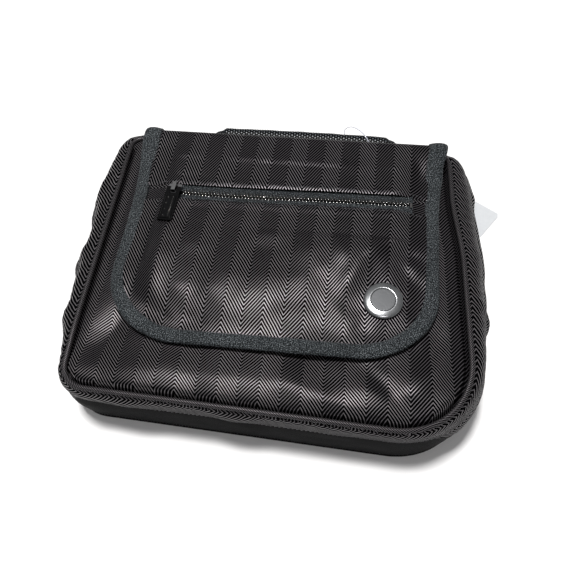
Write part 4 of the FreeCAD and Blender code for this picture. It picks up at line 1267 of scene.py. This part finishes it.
def webbing():
    """The strap through the grip, bent down to a foot at each end."""
    low, high = box_mm("handle_strap")
    turn = 8.5
    strap = []
    for sign, end in ((-1, low[0]), (1, high[0])):
        centre_x = end - sign * (turn + 1.2)
        arc = [(centre_x + sign * turn * math.cos(a), HANDLE_Y - turn + turn * math.sin(a))
               for a in np.linspace(0, math.pi / 2, 9)]
        strap.append([(centre_x + sign * turn, 116.3)] + arc)
    line = strap[0] + strap[1][::-1]
    path = resample([(px, py, HANDLE_Z) for px, py in line], 1.5)
    y = path[:, 1]
    below_hinge = np.clip(HINGE_Y - y, 0, None)
    foot = np.sqrt(np.clip(FOOT_RADIUS ** 2 - below_hinge ** 2, 2.0, None))
    wide = np.minimum(7.0 - 1.6 * smooth(y, 126, 136), foot)
    deep = 1.5 + 0.35 * smooth(y, 122, 134) + 0.15 * np.sin(lengths(path) * 1.3) * (y > 120)
    angle = np.linspace(0, 2 * np.pi, 20, endpoint=False)
    blunt = [np.sign(part) * np.abs(part) ** power
             for part, power in ((np.cos(angle), 0.6), (np.sin(angle), 0.45))]
    profile = np.stack([blunt[0] * deep[:, None], blunt[1] * wide[:, None]], -1)
    strap = swept_piece("handle_webbing", path, profile, (0, 0, 1), "webbing",
                        body="handle", replaces=["handle_strap"])


def patch(name):
    """A square of webbing on the cover, sewn round its edge and across."""
    low, high = box_mm(name)
    px, pz = np.meshgrid(np.linspace(low[0], high[0], 22)[::-1], np.linspace(low[2], high[2], 20))
    edge = np.minimum(np.minimum(px - low[0], high[0] - px),
                      np.minimum(pz - low[2], high[2] - pz))
    py = 114.0 + 1.5 * smooth(edge, -0.5, 1.8) - 0.4 * bell(edge - 2.6, 0.7)
    cloth = cloth_piece(f"{name}_cloth", np.stack([px, py, pz], -1), np.stack([px, pz], -1), 1.3,
                        "webbing", body="bag", replaces=[name])
    (left, _, foot), (right, _, head) = low + PATCH_HEM, high - PATCH_HEM
    box = [(left, foot), (right, foot), (right, head), (left, head)]
    seams = [(a, b, 115.25) for a, b in zip(box, box[1:] + box[:1])]
    seams += [(box[k], box[k + 2], 115.3) for k in (0, 1)]
    stitches = [stitch_mesh(resample([(a[0], y, a[1]), (b[0], y, b[1])], 0.5), (0, 1, 0),
                            2.6, 0.7, 0.26) for a, b, y in seams]
    add_piece(f"{name}_stitches", *joined(stitches), "sewing_thread", body="bag", slot="webbing")


# ---------------------------------------------------------------- inside pocket


def pocket():
    low, high = box_mm("inner_pocket")
    u = rows_between([low[0] + 1, high[0] - 1], 3.0)
    v = rows_between([low[1] + 1, high[1] - 2], 3.0)
    x, y = np.meshgrid(u, v)
    share_x = np.sin(np.pi * (x - u[0]) / (u[-1] - u[0])) ** 0.5
    share_y = smooth(y, v[0], v[0] + 45)
    gathers = 0.8 * np.sin(x / 3.4 + 1.5 * rumple(x, y, 30, 61)) * smooth(y, v[-1] - 45, v[-1])
    z = low[2] + 1.2 + (high[2] - low[2] - 3.0) * share_x * share_y + gathers * share_x
    points = np.stack([x, y, z], -1)
    piece = cloth_piece("inner_pocket_cloth", points, np.stack([x, y], -1), 0.6, "lining_cloth",
                        body="bag", replaces=["inner_pocket"])
    edge = points[-1] + (0, 0.6, 0)
    swept_piece("pocket_elastic_band", edge, ring_profile(0.9, 2.6, 12), (0, 1, 0.2), "elastic",
                body="bag", replaces=["pocket_elastic"])


# ---------------------------------------------------------------- swing tag and its loop

LOOP_ROUTE = (      # metres
    (0.096, 0.140, 0.0032), (0.090, 0.131, 0.009), (0.079, 0.125, 0.020), (0.069, 0.122, 0.034),
    (0.061, 0.126, 0.047), (0.052, 0.137, 0.052), (0.042, 0.149, 0.046), (0.035, 0.156, 0.033),
    (0.041, 0.158, 0.019), (0.058, 0.153, 0.010), (0.076, 0.147, 0.005), (0.090, 0.1435, 0.0032),
)
LOOP_DIAMETER = 0.0008
CARD_LONG, CARD_WIDE, CARD_ROUND = 85, 44, 3
CARD_TURN = math.radians(146)
CARD_CORNER, CARD_HOLE = np.array([174.0, 101.0]), np.array([93.0, 141.8])


def nylon_loop():
    """The clear loop from the tag's lock round the handle, as a curve with a round section."""
    curve = bpy.data.curves.new("tag_loop_cord", "CURVE")
    curve.dimensions = "3D"
    curve.bevel_depth = LOOP_DIAMETER / 2
    curve.bevel_resolution = 4
    curve.resolution_u = 16
    curve.use_fill_caps = True
    spline = curve.splines.new("NURBS")
    spline.points.add(len(LOOP_ROUTE) - 1)
    for point, place in zip(spline.points, LOOP_ROUTE):
        point.co = (*place, 1)
    spline.order_u = 3
    spline.use_endpoint_u = True
    curve.materials.append(LOOKS["clear_nylon"])
    cord = bpy.data.objects.new("tag_loop_cord", curve)
    link(cord)
    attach(cord, "bag")
    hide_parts("tag_loop")
    return cord


def tag():
    cord = nylon_loop()
    along = np.array([math.cos(CARD_TURN), math.sin(CARD_TURN)])
    across = np.array([-math.sin(CARD_TURN), math.cos(CARD_TURN)])
    u = rows_between([0, CARD_ROUND, CARD_LONG - CARD_ROUND, CARD_LONG], 1.5)
    v = rows_between([0, CARD_ROUND, CARD_WIDE - CARD_ROUND, CARD_WIDE], 1.5)
    a, b = np.meshgrid(u, v)
    half = CARD_WIDE / 2
    for near in (a < CARD_ROUND, a > CARD_LONG - CARD_ROUND):
        pull_in = np.where(near, CARD_ROUND - np.minimum(a, CARD_LONG - a), 0)
        inset = CARD_ROUND - np.sqrt(np.clip(CARD_ROUND ** 2 - pull_in ** 2, 0, CARD_ROUND ** 2))
        b = np.where(near, half + (b - half) * (half - inset) / half, b)
    points = np.stack([CARD_CORNER[0] + a * along[0] + b * across[0],
                       CARD_CORNER[1] + a * along[1] + b * across[1],
                       0.46 + 0.25 * smooth(a, 30, 0)], -1)
    hole_u, hole_v = (u[1:] + u[:-1]) / 2, (v[1:] + v[:-1]) / 2
    local = ((CARD_HOLE - CARD_CORNER) @ along, (CARD_HOLE - CARD_CORNER) @ across)
    hole = np.hypot(hole_u[None] - local[0], hole_v[:, None] - local[1]) < 1.6
    card = cloth_piece("swing_tag_card", points, np.stack([a, b], -1), 0.42, "tag_card", hole=hole,
                       body="bag", replaces=["swing_tag"])


badge()
pull()
grip()
webbing()
patch("handle_patch_left")
patch("handle_patch_right")
pocket()
tag()


# ---------------------------------------------------------------- floor and finish

floor_data = bpy.data.meshes.new("floor")
floor_data.from_pydata([(-3, -3, 0), (3, -3, 0), (3, 3, 0), (-3, 3, 0)], [], [(0, 1, 2, 3)])
floor_look = bpy.data.materials.new("floor")
floor_look.use_nodes = True
floor_skin = floor_look.node_tree.nodes["Principled BSDF"]
floor_skin.inputs["Base Color"].default_value = (0.92, 0.92, 0.92, 1)
floor_skin.inputs["Roughness"].default_value = 0.9
floor_skin.inputs["Specular IOR Level"].default_value = 0.1
floor_data.materials.append(floor_look)
floor = bpy.data.objects.new("floor", floor_data)
link(floor)
